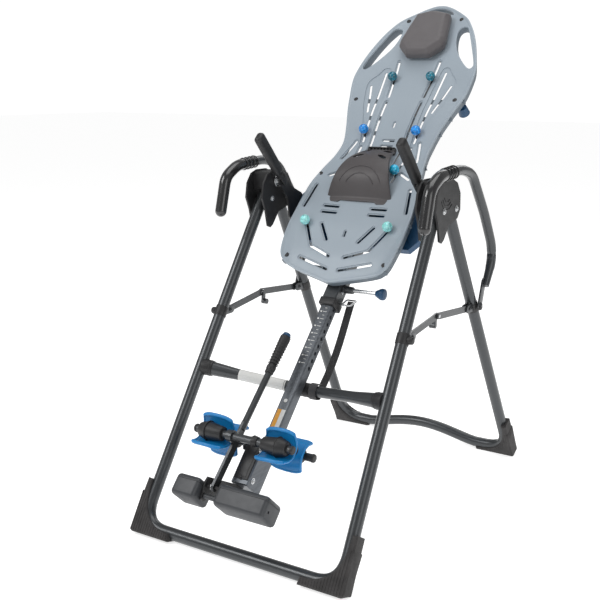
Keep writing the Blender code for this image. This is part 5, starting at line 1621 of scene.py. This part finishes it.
class TABLE_OT_footrest(bpy.types.Operator):
    """The two softly rounded blocks of the foot platform, with their parting line"""
    bl_idname = "table.footrest"
    bl_label = "Foot platform"

    def execute(self, context):
        low, high = bed_box("footrest")
        middle = (low + high) / 2
        size = high - low
        blocks = []
        for start, end in ((low.x, -0.0725), (-0.0095, high.x)):
            wide = end - start
            half = block((wide, size.y, size.z), ((start + end) / 2, middle.y, middle.z),
                         0.0120, 5)
            seam = block((wide + 0.01, 0.0016, size.z + 0.02),
                         ((start + end) / 2, middle.y + size.y * 0.28, middle.z), 0)
            inner = block((wide - 0.003, 0.02, size.z - 0.003),
                          ((start + end) / 2, middle.y + size.y * 0.28, middle.z), 0.0105, 5)
            cut(seam, inner)
            cut(half, seam)
            blocks.append(half)
        rest = joined(*blocks)
        for x in (low.x, high.x):
            cut(rest, rod((x - 0.006, middle.y - 0.006, middle.z + 0.018),
                          (x + 0.006, middle.y - 0.006, middle.z + 0.018), 0.0042, sides=24))
        axle = rod((-0.078, *FOOT_AXLE), (-0.004, *FOOT_AXLE), 0.0073, sides=32)
        settle(joined(rest, axle), "foot_blocks", "foot_platform", "boot_rubber",
               "platform", bed=True, instead=("footrest",), angle=40)
        tread = []
        for start, end in ((low.x + 0.026, -0.094), (0.012, high.x - 0.026)):
            for k in range(5):
                z = middle.z + 0.0120 * (k - 2)
                tread.append(block((end - start, 0.0012, 0.0032),
                                   ((start + end) / 2, high.y - 0.0002, z), 0.0005, 2))
        settle(joined(*tread), "foot_treads", "foot_platform", "boot_rubber", "platform",
               bed=True)
        return {"FINISHED"}


# ---------------------------------------------------------------- tether
class TABLE_OT_tether(bpy.types.Operator):
    """The tether strap, copied with softened edges and dressed in woven webbing"""
    bl_idname = "table.tether"
    bl_label = "Tether"

    def execute(self, context):
        strap = frame["nodes"]["tether_strap"]
        copy = strap.copy()
        copy.data = strap.data.copy()
        for key in list(copy.keys()):
            del copy[key]
        bpy.context.scene.collection.objects.link(copy)
        copy.parent = None
        copy.matrix_world = strap.matrix_world
        move(copy, Matrix.Identity(4))
        soften(clean(copy), 0.0007, 2, 40)
        settle(copy, "strap_webbing", "tether", "webbing", "webbing",
               instead=("tether_strap",), angle=40)
        return {"FINISHED"}


# ---------------------------------------------------------------- finishes of plain nodes
PLAIN = {"pivot_bracket_left": "black", "pivot_bracket_right": "black",
         "spreader_front_left": "frame", "spreader_front_right": "frame",
         "spreader_rear_left": "frame", "spreader_rear_right": "frame",
         "bed_frame_tube": "frame", "bed_back_pan": "navy", "hinge_arm_left": "black",
         "hinge_arm_right": "black", "rear_knob": "navy", "tether_eye": "steel",
         "ankle_carriage": "shaft", "footrest_bracket": "black",
         "rear_ankle_rod": "black", "front_ankle_rod": "frame",
         "ankle_lever": "frame", "selector_rod": "steel"}


class TABLE_OT_finishes(bpy.types.Operator):
    """Give every carried-over piece its own finish"""
    bl_idname = "table.finishes"
    bl_label = "Finishes"

    def execute(self, context):
        for name, node in frame["nodes"].items():
            if name in PLAIN:
                if not node.data.materials:
                    node.data.materials.append(None)
                for index in range(len(node.data.materials)):
                    node.data.materials[index] = finish_of(PLAIN[name])
        return {"FINISHED"}


# ---------------------------------------------------------------- stage
CAMERA_PLACE = (1.487, -2.5595, 1.291)
CAMERA_PITCH, CAMERA_TURN = 77.39, 32.85      # degrees
CAMERA_LENS, CAMERA_SENSOR = 58.43, 36        # millimetres
FLOOR_SIZE, FLOOR_GLOW = 60, 0.70
WORLD_ON_TABLE, WORLD_SEEN = 0.34, 1.05
AIM = Vector((0, 0, 0.75))
LIGHTS = {"key": ((-2.6, -3.6, 4.2), 120, 2.4),     # place, power and width
          "fill": ((4.4, -2.2, 2.6), 40, 2.6),
          "top": ((0.3, 0.2, 4.6), 60, 3.0),
          "back": ((-1.0, 4.4, 3.4), 40, 2.6)}


class TABLE_OT_stage(bpy.types.Operator):
    """Pale floor, studio lights and the camera"""
    bl_idname = "table.stage"
    bl_label = "Stage"

    def execute(self, context):
        scene = context.scene
        scene.view_settings.view_transform = "Standard"
        bpy.ops.mesh.primitive_plane_add(size=FLOOR_SIZE, location=(0, 0, 0))
        floor = bpy.context.object
        floor.name = "floor"
        paint = Finish("pale_floor", (0.80, 0.80, 0.80), 0.9)
        paint.set(paint.shader, {"Emission Color": (1, 1, 1, 1), "Emission Strength": FLOOR_GLOW})
        floor.data.materials.append(paint.material)
        floor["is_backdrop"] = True
        self.world()
        for name, (place, power, size) in LIGHTS.items():
            self.light(name, place, power, size)
        bpy.ops.object.camera_add(location=CAMERA_PLACE,
                                  rotation=(radians(CAMERA_PITCH), 0, radians(CAMERA_TURN)))
        camera = bpy.context.object
        camera.name = "camera"
        camera.data.sensor_width = CAMERA_SENSOR
        camera.data.lens = CAMERA_LENS
        scene.camera = camera
        return {"FINISHED"}

    @staticmethod
    def world():
        """A white backdrop for the camera, dimmer where it lights the table."""
        world = bpy.data.worlds.new("studio")
        bpy.context.scene.world = world
        world.use_nodes = True
        tree = world.node_tree
        back = tree.nodes["Background"]
        back.inputs["Color"].default_value = (1, 1, 1, 1)
        path = tree.nodes.new("ShaderNodeLightPath")
        level = tree.nodes.new("ShaderNodeMapRange")
        level.inputs["To Min"].default_value = WORLD_ON_TABLE
        level.inputs["To Max"].default_value = WORLD_SEEN
        tree.links.new(path.outputs["Is Camera Ray"], level.inputs["Value"])
        tree.links.new(level.outputs["Result"], back.inputs["Strength"])

    @staticmethod
    def light(name, place, power, size):
        """A soft square light aimed at the middle of the table."""
        bpy.ops.object.light_add(type="AREA", location=place)
        lamp = bpy.context.object
        lamp.name = f"{name}_light"
        lamp.data.energy = power
        lamp.data.size = size
        aim = AIM - Vector(place)
        lamp.rotation_euler = aim.to_track_quat("-Z", "Y").to_euler()


# ---------------------------------------------------------------- panel and main
OPERATORS = (TABLE_OT_tubes, TABLE_OT_boots, TABLE_OT_crossbar, TABLE_OT_brackets,
             TABLE_OT_handles, TABLE_OT_spreaders, TABLE_OT_board, TABLE_OT_headrest,
             TABLE_OT_bridge, TABLE_OT_balls, TABLE_OT_casing, TABLE_OT_side_grips,
             TABLE_OT_shaft, TABLE_OT_lock, TABLE_OT_cups, TABLE_OT_footrest,
             TABLE_OT_tether, TABLE_OT_finishes, TABLE_OT_stage)


class TABLE_PT_panel(bpy.types.Panel):
    """The table's sizes, colours and building steps"""
    bl_idname = "TABLE_PT_panel"
    bl_label = "Inversion Table"
    bl_space_type = "VIEW_3D"
    bl_region_type = "UI"
    bl_category = "Table"

    def draw(self, context):
        colours, sizes = settings()
        for group in (sizes, colours):
            box = self.layout.box()
            for name in group.__annotations__:
                box.prop(group, name)
        for operator in OPERATORS:
            self.layout.operator(operator.bl_idname)


CLASSES = (TableColours, TableSizes, *OPERATORS, TABLE_PT_panel)


def register():
    for cls in CLASSES:
        bpy.utils.register_class(cls)
    bpy.types.Scene.table_colours = bpy.props.PointerProperty(type=TableColours)
    bpy.types.Scene.table_sizes = bpy.props.PointerProperty(type=TableSizes)


def unregister():
    del bpy.types.Scene.table_sizes
    del bpy.types.Scene.table_colours
    for cls in reversed(CLASSES):
        bpy.utils.unregister_class(cls)


def corners(box):
    return [list(corner) for corner in box]


def main():
    register()
    bpy.ops.table.stage()
    for operator in OPERATORS[:-1]:
        group, name = operator.bl_idname.split(".")
        getattr(getattr(bpy.ops, group), name)()
    {"cad": corners(CAD_BOX), "finished": corners(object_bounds())}


if __name__ == "__main__":
    main()
